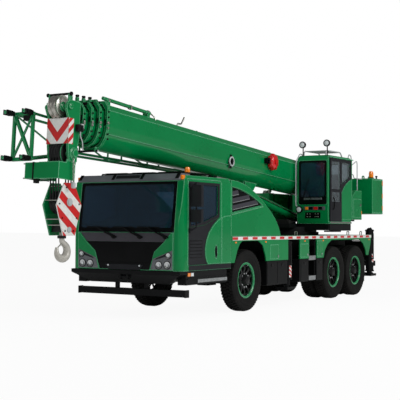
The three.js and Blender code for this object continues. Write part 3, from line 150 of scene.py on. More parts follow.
camera = bpy.data.objects.new("camera", bpy.data.cameras.new("camera"))
bpy.context.scene.collection.objects.link(camera)
camera.data.lens = camera_lens
camera.data.sensor_width = 36.0
camera.data.clip_end = 500.0
camera.location = camera_place
gaze = Vector((math.cos(camera_heading) * math.cos(camera_rise),
        math.sin(camera_heading) * math.cos(camera_rise), math.sin(camera_rise)))
camera.rotation_mode = "QUATERNION"
level_view = gaze.to_track_quat("-Z", "Y").to_matrix()
camera.rotation_quaternion = (level_view @ Matrix.Rotation(camera_roll, 3, "Z")).to_quaternion()
bpy.context.scene.camera = camera
bpy.context.scene.view_settings.view_transform = "Standard"

# ---------------------------------------------------------------- chassis
# Welded steel frame, outrigger boxes, pedestal and boom rest, shot-blasted and
# powder coated in satin black. The axles and the knuckles carry the same coat.


def surface(name, colour, drift, patch, grain, roughness, relief, **sockets):
    """A material whose colour drifts between two shades over patches, with a fine grain.

    Patch and grain are sizes in millimetres, relief is the grain's depth in millimetres,
    and roughness is its lowest and highest value. Sockets are the shader's own inputs.
    """
    made = bpy.data.materials.new(name)
    made.use_nodes = True
    tree = made.node_tree
    shader = tree.nodes["Principled BSDF"]
    for socket, value in sockets.items():
        shader.inputs[socket.replace("_", " ")].default_value = value
    place = add(tree, "TexCoord")
    patches = add(tree, "TexNoise", {"Scale": 1000 / patch, "Detail": 5.0},
        {"Vector": place.outputs["Object"]}, name="patches")
    grains = add(tree, "TexNoise", {"Scale": 1000 / grain, "Detail": 2.0},
        {"Vector": place.outputs["Object"]}, name="grains")
    tint = add(tree, "ValToRGB", links={"Fac": patches.outputs["Fac"]}, name="tint")
    tint.color_ramp.elements[0].position = 0.35
    tint.color_ramp.elements[1].position = 0.65
    tint.color_ramp.elements[0].color = linear(colour)
    tint.color_ramp.elements[1].color = linear(drift)
    shine = add(tree, "MapRange", {"From Min": 0.3, "From Max": 0.7, "To Min": roughness[0],
            "To Max": roughness[1]}, {"Value": patches.outputs["Fac"]})
    bump = add(tree, "Bump", {"Distance": relief / 1000, "Strength": 1.0},
        {"Height": grains.outputs["Fac"]}, name="bump")
    tree.links.new(tint.outputs["Color"], shader.inputs["Base Color"])
    tree.links.new(shine.outputs["Result"], shader.inputs["Roughness"])
    tree.links.new(bump.outputs["Normal"], shader.inputs["Normal"])
    return made


# Polyester powder coat: a satin black with a faint orange peel, about 2 mm across, drawn
# at 8 mm so that it shows.
black_coat = surface("black powder coat", "#0b0c0e", "#111214", 600, 8, (0.38, 0.5), 0.12,
    Specular_IOR_Level=0.14)
# Chassis iron keeps a duller coat, with road dust in soft patches.
chassis_coat = surface("dusty chassis coat", "#0c0d0f", "#161616", 350, 12, (0.5, 0.68), 0.3,
    Specular_IOR_Level=0.12)


def finished(node, material, edge=0.006, steepest=32.0):
    """Gives a CAD node its material and rounds its edges, as a folded or cast part's are."""
    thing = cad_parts[node]
    mesh = thing.data
    mesh.materials.clear()
    mesh.materials.append(material)
    if "custom_normal" in mesh.attributes:
        mesh.attributes.remove(mesh.attributes["custom_normal"])
    mesh.polygons.foreach_set("use_smooth", [True] * len(mesh.polygons))
    weld = thing.modifiers.new("weld", "WELD")
    weld.merge_threshold = 0.0002
    panels = thing.modifiers.new("panels", "DECIMATE")
    panels.decimate_type = "DISSOLVE"
    panels.angle_limit = math.radians(1.0)
    bevel = thing.modifiers.new("edges", "BEVEL")
    bevel.width = edge
    bevel.segments = 2
    bevel.angle_limit = math.radians(steepest)
    bevel.harden_normals = True
    return thing


for node in ("chassis_frame", "front_axle", "rear_axle_1", "rear_axle_2", "left_knuckle",
        "right_knuckle"):
    finished(node, chassis_coat)


def block(x, y, z):
    """A box between two places on each axis."""
    points = [(a, b, c) for a in x for b in y for c in z]
    return points, [(0, 1, 3, 2), (4, 6, 7, 5), (0, 4, 5, 1), (2, 3, 7, 6), (0, 2, 6, 4),
        (1, 5, 7, 3)]


# Where a point (a, b) of an outline lies when the outline is carried to c along an axis.
carried = {"x": lambda a, b, c: (c, a, b), "y": lambda a, b, c: (a, c, b),
           "z": lambda a, b, c: (a, b, c)}


def prism(outline, axis, low, high):
    """An outline in the two other axes, in their order, carried along an axis."""
    count = len(outline)
    points = [carried[axis](a, b, c) for c in (low, high) for a, b in outline]
    faces = [tuple(range(count)), tuple(range(count, 2 * count))]
    faces += [(i, (i + 1) % count, (i + 1) % count + count, i + count) for i in range(count)]
    return points, faces


def circle(count, offset=0.0):
    """The angles of so many places spread evenly round a circle."""
    return [2 * math.pi * (n + offset) / count for n in range(count)]


def turned(profile, centre, axis, steps=48):
    """A profile of (radius, along) points turned about an axis through a centre."""
    points = []
    for angle in circle(steps):
        for radius, along in profile:
            across, up = radius * math.cos(angle), radius * math.sin(angle)
            offset = {"x": (along, across, up), "y": (up, along, across),
                "z": (across, up, along)}[axis]
            points.append(tuple(c + o for c, o in zip(centre, offset)))
    count = len(profile)
    faces = []
    for step in range(steps):
        here, there = step * count, (step + 1) % steps * count
        for i in range(count):
            j = (i + 1) % count
            if profile[i][0] > 1e-9 or profile[j][0] > 1e-9:
                faces.append((here + i, here + j, there + j, there + i))
    return points, faces


def disc(centre, axis, radius, thickness, steps=24):
    """A plain short cylinder about its centre."""
    half = thickness / 2
    return turned([(0, -half), (radius, -half), (radius, half), (0, half)], centre, axis, steps)


def tube(route, radius, sides=10):
    """A round bar or tube along a route of points, closed at its ends."""
    route = [Vector(point) for point in route]
    count = len(route)
    along = [(route[min(i + 1, count - 1)] - route[max(i - 1, 0)]).normalized()
        for i in range(count)]
    side = along[0].orthogonal().normalized()
    points = []
    for i, centre in enumerate(route):
        side = (side - along[i] * side.dot(along[i])).normalized()
        other = along[i].cross(side)
        for angle in circle(sides):
            points.append(
                tuple(centre + (side * math.cos(angle) + other * math.sin(angle)) * radius))
    faces = [tuple(range(sides)), tuple(range((count - 1) * sides, count * sides))]
    faces += [(i * sides + s, i * sides + (s + 1) % sides, (i + 1) * sides + (s + 1) % sides,
            (i + 1) * sides + s) for i in range(count - 1) for s in range(sides)]
    return points, faces


def bent(route, radius, bend=0.06, sides=10):
    """A tube whose inner corners are bent round a radius."""
    route = [Vector(point) for point in route]
    path = [route[0]]
    for before, corner, after in zip(route, route[1:], route[2:]):
        reach = min(bend, (before - corner).length / 2, (after - corner).length / 2)
        start = corner + (before - corner).normalized() * reach
        end = corner + (after - corner).normalized() * reach
        for step in range(6):
            t = step / 5
            path.append(start * (1 - t) ** 2 + corner * 2 * t * (1 - t) + end * t * t)
    return tube(path + [route[-1]], radius, sides)


def moved(shapes, place):
    """The same shapes with each point put where a function of its x, y and z says."""
    return [([place(*point) for point in points], faces) for points, faces in shapes]


def mirrored(shapes):
    """The same shapes on the vehicle's other side."""
    return moved(shapes, lambda x, y, z: (x, -y, z))


def both_sides(shapes):
    """The shapes together with their mirror images."""
    return list(shapes) + mirrored(shapes)


def piece(name, shapes, material, body="carrier", edge=0.003, sharp=32.0, replaces=()):
    """Joins closed shapes into one object with rounded edges, riding on a body."""
    form = bmesh.new()
    for points, faces in shapes:
        corners = [form.verts.new(point) for point in points]
        for face in faces:
            form.faces.new([corners[i] for i in face])
        bmesh.ops.remove_doubles(form, verts=corners, dist=1e-6)
    bmesh.ops.recalc_face_normals(form, faces=form.faces)
    mesh = bpy.data.meshes.new(name)
    form.to_mesh(mesh)
    form.free()
    mesh.polygons.foreach_set("use_smooth", [True] * len(mesh.polygons))
    mesh.materials.append(material)
    made = bpy.data.objects.new(name, mesh)
    bpy.context.scene.collection.objects.link(made)
    if edge:
        bevel = made.modifiers.new("edges", "BEVEL")
        bevel.width = edge
        bevel.segments = 2
        bevel.angle_limit = math.radians(sharp)
        bevel.harden_normals = True
    else:
        mesh.set_sharp_from_angle(angle=math.radians(sharp))
    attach(made, body)
    if replaces:
        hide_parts(*replaces)
    return made


cab_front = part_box("cab_front_panel")[1].x
half_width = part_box("deck")[1].y


def back(distance):
    """The X of a place that far behind the carrier cab's front face."""
    return cab_front - distance


def slab(front, rear, y, z):
    """A box between two distances behind the cab's front face and two places across and up."""
    return block((back(rear), back(front)), y, z)


# Natural rubber flaps, matt and faintly grey, hang behind the last wheels from a round bar.
rubber = surface("moulded rubber", "#121212", "#1b1b1a", 90, 6, (0.72, 0.88), 0.4,
    Specular_IOR_Level=0.25)
flap_back = 8.985
piece("mud_flaps", both_sides([slab(flap_back, flap_back + 0.006, (0.62, 1.16), (0.32, 1.36))]),
    rubber)
piece("mud_flap_bars",
    both_sides([tube([(back(flap_back + 0.012), 0.45, 1.38), (back(flap_back + 0.012), 1.2, 1.38)],
        0.014)]), black_coat, edge=0)

# ---------------------------------------------------------------- deck
# Folded steel deck, skirts and engine hood, primed and sprayed with two-pack green
# enamel, as all the body panels are. The walkways are pressed with chequer lozenges.

# Two-pack enamel: a deep gloss with a faint orange peel; real peel is about 2 mm across,
# drawn at 14 mm so that it shows as a slight ripple in the reflections.
enamel_green, enamel_drift = "#007a40", "#008145"
enamel = surface("green enamel", enamel_green, enamel_drift, 900, 14, (0.24, 0.34), 0.05,
    Specular_IOR_Level=0.08, Coat_Weight=0.55, Coat_Roughness=0.06)


def painted_edge_highlight(material, reach, shade):
    """Lays a painted highlight, a paler shade, within a reach in metres of an edge."""
    tree = material.node_tree
    bevel = add(tree, "Bevel", {"Radius": reach}, samples=4)
    flat = add(tree, "NewGeometry").outputs["Normal"]
    bend = add(tree, "VectorMath", operation="DOT_PRODUCT", links={0: bevel.outputs["Normal"],
            1: flat})
    share = add(tree, "MapRange", {"From Min": 0.99, "From Max": 0.8, "To Min": 0.0,
            "To Max": 0.75}, {"Value": bend.outputs["Value"]})
    pale = add(tree, "Mix", data_type="RGBA", links={0: share.outputs["Result"],
            6: tree.nodes["tint"].outputs["Color"]})
    pale.inputs[7].default_value = linear(shade)
    tree.links.new(pale.outputs[2], tree.nodes["Principled BSDF"].inputs["Base Color"])
    return material


# The green enamel gets a painted highlight: a paler green near every edge.
enamel = painted_edge_highlight(enamel, 0.028, "#86cfa9")


def pressed(material, pitch):
    """Raises lozenges of a pitch in millimetres on the faces of a material that look up."""
    tree = material.node_tree
    place = add(tree, "TexCoord")
    turn = add(tree, "Mapping", {"Rotation": (0, 0, math.pi / 4),
            "Scale": (math.pi * 1000 / pitch,) * 3}, {"Vector": place.outputs["Object"]})
    parts = add(tree, "SeparateXYZ", links={"Vector": turn.outputs["Vector"]})
    waves = [add(tree, "Math", operation="SINE", links={0: parts.outputs[axis]}) for axis in "XY"]
    lozenge = add(tree, "Math", operation="MULTIPLY", links={0: waves[0].outputs[0],
            1: waves[1].outputs[0]})
    raised = add(tree, "Math", {1: 0.35}, {0: lozenge.outputs[0]}, operation="GREATER_THAN")
    facing = add(tree, "SeparateXYZ", links={"Vector": add(tree, "NewGeometry").outputs["Normal"]})
    upward = add(tree, "Math", {1: 0.9}, {0: facing.outputs["Z"]}, operation="GREATER_THAN")
    height = add(tree, "Math", operation="MULTIPLY", links={0: raised.outputs[0],
            1: upward.outputs[0]})
    lift = add(tree, "Bump", {"Distance": 0.002, "Strength": 0.8}, {"Height": height.outputs[0],
            "Normal": tree.nodes["bump"].outputs["Normal"]})
    tree.links.new(lift.outputs["Normal"], tree.nodes["Principled BSDF"].inputs["Normal"])
    return material


# Lozenges are about 30 mm apart on real plate, drawn at 45 mm.
deck_enamel = pressed(surface("green enamel on chequer plate", enamel_green, enamel_drift, 900, 14,
        (0.26, 0.4), 0.05, Specular_IOR_Level=0.08, Coat_Weight=0.4, Coat_Roughness=0.1), 45)
finished("deck", deck_enamel, edge=0.008)

# Prismatic tape: hard clear film over a fine honeycomb, white and red.
white_tape = surface("white prismatic tape", "#e9e9e6", "#dcdcd8", 60, 6, (0.28, 0.4), 0.15,
    Coat_Weight=0.3)
red_tape = surface("red prismatic tape", "#d01214", "#c20e12", 60, 6, (0.28, 0.4), 0.15,
    Coat_Weight=0.3)


def proud(height):
    """From just inside the body's left side to so far outside it."""
    return half_width - 0.004, half_width + height


tape_low, tape_high = 1.446, 1.517
tape_front, tape_rear = 1.9, 9.24
dash_pitch, dash_length = 0.41, 0.215
piece("edge_tape_white",
    both_sides([slab(tape_front, tape_rear, proud(0.0015), (tape_low, tape_high))]), white_tape,
    edge=0)
piece("edge_tape_red",
    both_sides([slab(tape_front + dash_pitch * n, tape_front + dash_pitch * n + dash_length,
        proud(0.0025), (tape_low + 0.009, tape_high - 0.009)) for n in range(18)]), red_tape,
    edge=0)

# Acrylic lenses: clear colour right through, with a moulded ribbing behind a gloss face. The amber
# one also has a faint painted glow, though it is no lit lamp.
amber_lens = surface("amber acrylic lens", "#e8780c", "#f08a14", 30, 9, (0.12, 0.2), 0.5,
    Coat_Weight=0.8, Emission_Color=linear("#e8780c"), Emission_Strength=0.08)
red_lens = surface("red acrylic lens", "#b80d10", "#c81416", 30, 9, (0.12, 0.2), 0.5,
    Coat_Weight=0.8)
clear_lens = surface("clear acrylic lens", "#dfe4e6", "#cfd6da", 40, 12, (0.08, 0.16), 0.6,
    Coat_Weight=0.9)
side_marker_backs = (2.02, 3.3, 5.2, 6.2, 9.08)
piece("side_markers", both_sides([slab(at - 0.03, at + 0.03, proud(0.012), (1.386, 1.418))
        for at in side_marker_backs]), amber_lens, edge=0.005)


def bolts(places, axis, radius=0.011, height=0.01):
    """Hexagon heads at their places, standing along an axis."""
    return [disc(place, axis, radius, height, steps=6) for place in places]


# Zinc-plated fastenings: small, bright and slightly yellowed.
zinc = surface("zinc plate", "#b9bab6", "#a7a49a", 40, 5, (0.3, 0.42), 0.1, Metallic=1.0)
# Hard chrome over polished steel: nearly a mirror, with a faint cool tint.
chrome = surface("chromed steel", "#d5d8da", "#c9cccf", 120, 10, (0.06, 0.12), 0.02, Metallic=1.0)

# The skirt's hatches are folded panels, each with a chromed latch low at its rear corner.
skirt_hatches = [(3.50, 3.90, 1.03, 1.34), (4.98, 5.40, 1.03, 1.34), (5.88, 6.15, 1.03, 1.40)]
piece("skirt_hatches", both_sides([slab(front, rear, proud(0.005), (low, high))
        for front, rear, low, high in skirt_hatches]), enamel, edge=0.004)
piece("skirt_latches", both_sides([shape for front, rear, low, high in skirt_hatches
        for shape in (disc((back(rear - 0.04), half_width + 0.008, low + 0.06), "y", 0.022, 0.014),
        slab(rear - 0.047, rear - 0.033, (half_width, half_width + 0.02),
        (low + 0.02, low + 0.09)))]), chrome, edge=0.002)

# The hood has a raised lid with rows of pressed louvres, bolted at its rim.
hood_front, hood_rear, hood_half, hood_top = 1.905, 3.09, 1.1, 1.96
lid_y = (0.5, hood_half - 0.1)
lid = [slab(hood_front + 0.08, hood_rear - 0.08, y, (hood_top - 0.002, hood_top + 0.014))
    for y in ((-lid_y[1], -lid_y[0]), lid_y)]
piece("hood_lids", lid, enamel, edge=0.006)
piece("hood_louvres",
    both_sides([prism([(back(x), hood_top + 0.012), (back(x + 0.05), hood_top + 0.012),
        (back(x + 0.05), hood_top + 0.034)], "y", 0.58, 0.92)
        for x in [hood_front + 0.18 + 0.085 * n for n in range(10)]]), enamel)
piece("hood_bolts",
    both_sides(bolts([(back(x), y, hood_top + 0.016) for x in (hood_front + 0.1, hood_rear - 0.1)
        for y in (0.53, 0.97)], "z")), zinc, edge=0.001)

# Tail lamps on a black carrier at each end of the rear cross beam.
tail_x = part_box("chassis_frame")[0].x
piece("tail_lamp_housings",
    both_sides([block((tail_x - 0.04, tail_x + 0.004), (0.61, 1.07), (0.69, 0.81))]), black_coat,
    edge=0.01)
piece("tail_lamps_red", both_sides([disc((tail_x - 0.042, y, 0.75), "x", 0.045, 0.016, 32)
        for y in (0.70, 0.83)]), red_lens)
piece("tail_lamps_amber", both_sides([disc((tail_x - 0.042, 0.97, 0.75), "x", 0.045, 0.016, 32)]),
    amber_lens)

# Lashing eyes of bent bar stand along each side of the deck.
deck_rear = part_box("deck")[0].x
deck_top = 1.52
piece("lashing_eyes",
    both_sides([bent([(deck_rear + x, 1.08, deck_top - 0.005),
        (deck_rear + x, 1.08, deck_top + 0.09), (deck_rear + x + 0.12, 1.08, deck_top + 0.09),
        (deck_rear + x + 0.12, 1.08, deck_top - 0.005)], 0.011, 0.03) for x in (0.25, 1.1, 4.1)]),
    zinc, edge=0)

# ---------------------------------------------------------------- side boxes
# Lockers of folded sheet under the deck with hinged doors and paddle latches, the
# fuel tank in its straps, and the punched aluminium treads of the ladder.

for node in ("left_side_boxes", "right_side_boxes"):
    finished(node, black_coat, edge=0.01)
locker_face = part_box("left_side_boxes")[1].y
locker_low, locker_high = 0.48, 0.99
locker_doors = [(3.40, 3.85), (3.87, 4.33), (5.03, 5.41), (5.87, 6.19)]
doors = [slab(front, rear, (locker_face - 0.004, locker_face + 0.006),
        (locker_low + 0.03, locker_high - 0.03)) for front, rear in locker_doors]
piece("left_locker_doors", doors, black_coat, edge=0.004)
piece("right_locker_doors", mirrored(doors[2:]), black_coat, edge=0.004)
# Gloss black ABS: nearly no colour, a shallow ripple and a hard reflection.
gloss_black = surface("gloss black ABS", "#050607", "#0a0b0d", 400, 10, (0.16, 0.26), 0.04,
    Specular_IOR_Level=0.14)
paddles = [block((back((front + rear) / 2 + 0.045), back((front + rear) / 2 - 0.045)),
        (locker_face, locker_face + 0.014), (locker_high - 0.12, locker_high - 0.06))
    for front, rear in locker_doors]
piece("locker_latches", paddles + mirrored(paddles[2:]), gloss_black, edge=0.004)
piece("tank_straps",
    mirrored([slab(x - 0.03, x + 0.03, (locker_face - 0.002, locker_face + 0.005),
        (locker_low + 0.1, locker_high - 0.1)) for x in (3.58, 3.86, 4.14)]), zinc, edge=0.002)
piece("tank_cap", [disc((back(3.7), -0.95, locker_high + 0.012), "z", 0.055, 0.04, 32),
        disc((back(3.7), -0.95, locker_high + 0.04), "z", 0.04, 0.02, 8)], zinc, edge=0.004)

# Punched tread: bright mill aluminium with rows of toothed holes 20 mm apart, drawn at 34.
tread = pressed(surface("punched aluminium tread", "#b9bcbe", "#a4a8aa", 80, 7, (0.32, 0.46), 0.15,
        Metallic=0.85), 34)
ladder = (5.43, 5.85)
piece("ladder_treads",
    both_sides([slab(ladder[0] + 0.02, ladder[1] - 0.02, (half_width - 0.31, half_width - 0.012),
        (z + 0.07, z + 0.1)) for z in (0.5, 0.96)]), tread, edge=0.004)
piece("ladder_tread_fronts",
    both_sides([slab(ladder[0] + 0.03, ladder[1] - 0.03, (half_width - 0.028, half_width - 0.016),
        (z, z + 0.075)) for z in (0.5, 0.96)]), tread)
piece("ladder_rails",
    both_sides([bent([(back(x), half_width - 0.05, 0.52), (back(x), half_width - 0.05, 1.4)], 0.014)
        for x in (ladder[0] + 0.03, ladder[1] - 0.03)]), black_coat, edge=0)

# ---------------------------------------------------------------- engine
# A cast-iron diesel in heat-proof grey, bolted between the frame's rails under the hood
# and seen only through the wheel arch.

# Casting skin: matt and pebbled, with sand grain about 1 mm across, drawn at 9 mm.
cast_iron = surface("painted iron casting", "#3b3d3e", "#2c2d2e", 250, 9, (0.55, 0.75), 0.6,
    Specular_IOR_Level=0.4)
finished("engine_block", cast_iron, edge=0.02)

# ---------------------------------------------------------------- front bumper
# Black folded bumper whose lower edge slopes back, with the cab steps beside it, an
# under-run bar on two hangers, side lamps and a punched tread on each step.

finished("front_bumper", black_coat, edge=0.012)
bumper_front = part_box("front_bumper")[1].x
piece("step_treads",
    both_sides([slab(0.60, 1.68, (half_width - 0.02, half_width + 0.004), (0.675, 0.738)),
        slab(0.62, 1.68, (half_width - 0.24, half_width - 0.01), (0.764, 0.772))]), tread)
piece("corner_lamps_amber",
    both_sides([slab(0.25, 0.34, (half_width - 0.012, half_width + 0.006), (0.80, 0.865))]),
    amber_lens, edge=0.006)
piece("corner_lamps_clear",
    both_sides([slab(0.36, 0.45, (half_width - 0.012, half_width + 0.006), (0.80, 0.865))]),
    clear_lens, edge=0.006)
piece("under_run_caps", both_sides([slab(0.182, 0.318, (1.215, 1.243), (0.412, 0.553))]), rubber,
    edge=0.008)
piece("towing_jaw", [block((back(0.02), bumper_front + 0.012), (-0.11, -0.06), (0.72, 0.82)),
        block((back(0.02), bumper_front + 0.012), (0.06, 0.11), (0.72, 0.82)),
        disc((bumper_front - 0.02, 0, 0.77), "y", 0.022, 0.27, 16)], black_coat, edge=0.006)

# ---------------------------------------------------------------- carrier cab
# Pressed steel cab in green enamel. Its nose carries a black grille moulding, a grey
# wiper band above it and a lamp unit in each corner.

finished("cab_shell", enamel, edge=0.014)
finished("cab_front_panel", enamel)

# Moulded ABS: charcoal with a low spark-eroded grain, and gloss black for the grille.
charcoal = surface("grained charcoal ABS", "#232428", "#1f2024", 500, 7, (0.42, 0.52), 0.12,
    Specular_IOR_Level=0.14)
# The band over the grille is moulded smoother, a satin grey with a soft sheen.
band_grey = surface("satin grey ABS", "#3f3e45", "#38373e", 400, 7, (0.32, 0.42), 0.08,
    Specular_IOR_Level=0.35)

nose_top, nose_bottom = 1.596, 0.905
knee = (0.675, 1.25)
grille_foot, grille_shoulder, band_end, band_low = 0.565, 0.875, 1.035, 1.425


def fan(right):
    """A symmetric outline from its right half, given from the bottom up."""
    return right + [(-y, z) for y, z in reversed(right)]


piece("grille_panel",
    [prism(fan([(grille_foot, nose_bottom + 0.01), knee, (grille_shoulder, band_low)]), "x",
        cab_front - 0.016, cab_front + 0.006)], gloss_black, edge=0.004)
piece("wiper_band", [prism(fan([(grille_shoulder + 0.004, band_low + 0.003), (band_end, nose_top)]),
        "x", cab_front - 0.008, cab_front + 0.012)], band_grey, edge=0.005)
cheek = [prism([(grille_foot + 0.006, nose_bottom + 0.004), (knee[0] + 0.006, knee[1]),
        (grille_shoulder + 0.012, band_low), (band_end + 0.012, nose_top), (1.09, nose_top),
        (1.09, nose_bottom + 0.004)], "x", cab_front - 0.016, cab_front + 0.016)]
piece("nose_cheeks", both_sides(cheek), enamel, edge=0.008)
piece("grille_ribs", [prism(fan([(0.60, 1.03), (0.61, 1.045)]), "x", cab_front, cab_front + 0.014)],
    gloss_black)
piece("grille_tray", [prism(fan([(0.36, 0.905), (0.45, 1.01)]), "x", cab_front, cab_front + 0.024)],
    charcoal, edge=0.012)
piece("tray_lamps", both_sides([disc((cab_front + 0.026, 0.36, 0.985), "x", 0.016, 0.008, 20)]),
    clear_lens, edge=0.002)

# Lamp units: a satin grey surround with three chromed bowls under clear lenses.
lamp_grey = surface("satin lamp surround", "#6e7176", "#5f6267", 90, 8, (0.22, 0.34), 0.1,
    Metallic=0.35, Coat_Weight=0.6)
lamp_outline = [(0.60, nose_bottom + 0.016), (0.655, 1.12), (1.085, 1.285),
    (1.085, nose_bottom + 0.016)]
piece("lamp_surrounds", both_sides([prism(lamp_outline, "x", cab_front, cab_front + 0.021)]),
    lamp_grey, edge=0.008)
lamp_places = [(0.79, 1.005, 0.075), (0.975, 1.01, 0.075), (1.0, 1.178, 0.06)]
piece("lamp_rims",
    both_sides([turned([(r * 0.86, 0.018), (r * 0.9, 0.034), (r, 0.034), (r * 1.06, 0.018)],
        (cab_front, y, z), "x", 32) for y, z, r in lamp_places]), gloss_black, edge=0)
piece("lamp_bowls",
    both_sides([turned([(0, 0.0215), (r * 0.3, 0.022), (r * 0.8, 0.0285), (r * 0.86, 0.0285),
        (r * 0.86, 0.0205), (0, 0.0205)], (cab_front, y, z), "x", 32) for y, z, r in lamp_places]),
    chrome, edge=0)
piece("lamp_lenses", both_sides([disc((cab_front + 0.03, y, z), "x", r * 0.34, 0.012, 24)
        for y, z, r in lamp_places]), clear_lens, edge=0.004)
piece("lamp_brows",
    both_sides([prism([(0.70, 1.1), (0.74, 1.135), (0.95, 1.215), (0.93, 1.16)], "x",
        cab_front + 0.01, cab_front + 0.027)]), charcoal, edge=0.004)

# Laminated screen: bluish-grey tinted glass with a black enamelled border inside.
tinted = surface("tinted laminated glass", "#3c5f78", "#365670", 900, 60, (0.02, 0.05), 0.0,
    Transmission_Weight=0.8, IOR=1.5, Specular_IOR_Level=0.3)
finished("windscreen", tinted, edge=0.002)
rake = 0.12 / 0.96
screen_half, screen_low, screen_high = 1.1, 1.613, 2.545


def leaning(shapes):
    """Carries shapes made against the cab's front face back with the windscreen's rake."""
    return moved(shapes, lambda x, y, z: (x - rake * max(0, z - 1.6), y, z))


def ring(outer, inner, axis, low, high):
    """A flat frame between two outlines that have the same number of corners."""
    count = len(outer)
    points = [carried[axis](a, b, c) for c in (low, high) for outline in (outer, inner)
        for a, b in outline]
    faces = []
    for i in range(count):
        j = (i + 1) % count
        faces += [(i, j, count + j, count + i), (2 * count + i, 2 * count + j, 3 * count + j,
                3 * count + i), (i, j, 2 * count + j, 2 * count + i),
            (count + i, count + j, 3 * count + j, 3 * count + i)]
    return points, faces


def rounded(y, z, radius, steps=5):
    """A rectangle with rounded corners."""
    outline = []
    for cy, cz, start in ((y[1] - radius, z[1] - radius, 0), (y[0] + radius, z[1] - radius, 90),
            (y[0] + radius, z[0] + radius, 180), (y[1] - radius, z[0] + radius, 270)):
        for step in range(steps + 1):
            angle = math.radians(start + 90 * step / steps)
            outline.append((cy + radius * math.cos(angle), cz + radius * math.sin(angle)))
    return outline


piece("screen_border",
    leaning([ring(rounded((-screen_half, screen_half), (screen_low, screen_high), 0.05),
        rounded((-screen_half + 0.06, screen_half - 0.06), (screen_low + 0.075, screen_high - 0.05),
        0.05), "x", cab_front - 0.007, cab_front - 0.0015)]), gloss_black, edge=0)

# Three pantograph wipers park along the foot of the screen, each a pair of slanting arms.
wipers = []
for pivot in (-0.235, 0.365, 0.935):
    tip = pivot - 0.42
    wipers += [disc((cab_front + 0.022, pivot, 1.515), "x", 0.034, 0.034, 20),
        tube([(cab_front + 0.036, pivot, 1.515), (cab_front + 0.032, pivot - 0.2, 1.6),
            (cab_front + 0.016, tip + 0.02, 1.70)], 0.014, 8),
        tube([(cab_front + 0.03, pivot + 0.03, 1.53), (cab_front + 0.016, tip + 0.07, 1.70)], 0.008,
            8), block((cab_front + 0.018, cab_front + 0.038), (pivot - 0.05, pivot + 0.06),
            (1.5, 1.53)), tube([(cab_front, tip - 0.23, 1.70), (cab_front, tip + 0.27, 1.69)],
            0.012, 8)]
piece("wipers", wipers, gloss_black, edge=0)

# The sun visor is three moulded panels between black stiffeners, with slim roof rails
# and a work platform grid behind it.
visor_grey = surface("light grey moulded ABS", "#6c6f75", "#62656b", 300, 7, (0.34, 0.45), 0.1,
    Specular_IOR_Level=0.25)
finished("roof_visor", visor_grey, edge=0.01)
visor_face = [(back(0.053), 2.60), (back(0.143), 2.70), (back(0.16), 2.69), (back(0.07), 2.59)]
piece("visor_stiffeners", [prism(visor_face, "y", y - w, y + w)
        for y, w in ((-1.12, 0.035), (-0.33, 0.03), (0.33, 0.03), (1.12, 0.035))], gloss_black,
    edge=0.004)
piece("visor_inset",
    [prism([(back(0.076), 2.622), (back(0.124), 2.676), (back(0.13), 2.672), (back(0.083), 2.615)],
        "y", -0.27, 0.27)], charcoal)
rack_low, rack_high = 2.655, 2.735
rack = [bent([(back(0.5), y, rack_low), (back(0.55), y, rack_high), (back(1.6), y, rack_high),
        (back(1.65), y, rack_low)], 0.014) for y in (-0.95, -0.3, 0.35, 0.9)]
rack += [tube([(back(x), -0.97, rack_high), (back(x), 0.92, rack_high)], 0.012)
    for x in (0.57, 0.8, 1.05, 1.3, 1.58)]
piece("roof_rack", rack, black_coat, edge=0)
piece("rack_plates", [slab(x, x + 0.09, (y, y + 0.5), (rack_high + 0.01, rack_high + 0.02))
        for x in (0.58, 0.83, 1.08, 1.33) for y in (-0.9, -0.25, 0.36)], black_coat)


def beacon(centre, radius=0.05, height=0.13):
    """A turned lens on its black foot."""
    x, y, z = centre
    return (turned([(0, 0.03), (radius, 0.03), (radius, height * 0.7),
            (radius * 0.8, height * 0.95), (radius * 0.3, height), (0, height)], centre, "z", 28),
        turned([(0, 0), (radius * 1.25, 0), (radius * 1.2, 0.022), (radius * 0.9, 0.034),
            (0, 0.034)], centre, "z", 28))


# An amber beacon stands on the visor's left corner, over a repeater lamp on each side.
lens, foot = beacon((back(0.42), 1.12, 2.69))
piece("cab_beacon", [lens], amber_lens, edge=0)
piece("cab_beacon_foot", [foot], black_coat, edge=0)
piece("visor_repeaters", both_sides([slab(0.11, 0.20, (1.165, 1.215), (2.575, 2.66))]), amber_lens,
    edge=0.014)

# Inside the cab, moulded charcoal trim covers the pressings; its coarse grain is matt.
trim = surface("moulded cab trim", "#34373a", "#2c2f32", 400, 8, (0.6, 0.75), 0.2,
    Specular_IOR_Level=0.25)
wall = half_width - 0.062
piece("cab_trim", [slab(0.30, 1.74, (-wall, wall), (2.585, 2.596)),
        slab(1.758, 1.768, (-wall, -0.5), (1.08, 2.59)), slab(1.758, 1.768, (0.5, wall),
        (1.08, 2.59)), slab(1.758, 1.768, (-0.5, 0.5), (1.08, 2.0)), slab(0.14, 1.75, (-wall, wall),
        (1.064, 1.072)), prism([(back(0.13), 1.592), (back(0.42), 1.585), (back(0.53), 1.49),
        (back(0.52), 1.40), (back(0.40), 1.07), (back(0.13), 1.07)], "y", -wall + 0.06,
        wall - 0.06)], trim, edge=0.01)
wheel_centre = Vector((back(0.60), 0.6, 1.66))
steering = [wheel_centre + Vector((0.09 * math.cos(a), 0.22 * math.sin(a), 0.2 * math.cos(a)))
    for a in [2 * math.pi * step / 24 for step in range(25)]]
piece("steering_wheel", [tube(steering, 0.016, 8), tube([wheel_centre, (back(0.46), 0.6, 1.54)],
        0.03), tube([steering[6], wheel_centre, steering[18]], 0.014)], trim, edge=0)

# ---------------------------------------------------------------- cab seats
# Two suspension seats of woven cloth over moulded foam, with sewn channels, on one
# steel plinth across the cab floor.

# Woven cloth: 1.5 mm threads, drawn at 7 mm, in dark grey with a lighter fleck.
cloth = surface("woven seat cloth", "#2b2e33", "#3b3f45", 28, 7, (0.8, 0.95), 1.2,
    Sheen_Weight=0.35, Sheen_Roughness=0.5, Specular_IOR_Level=0.2)


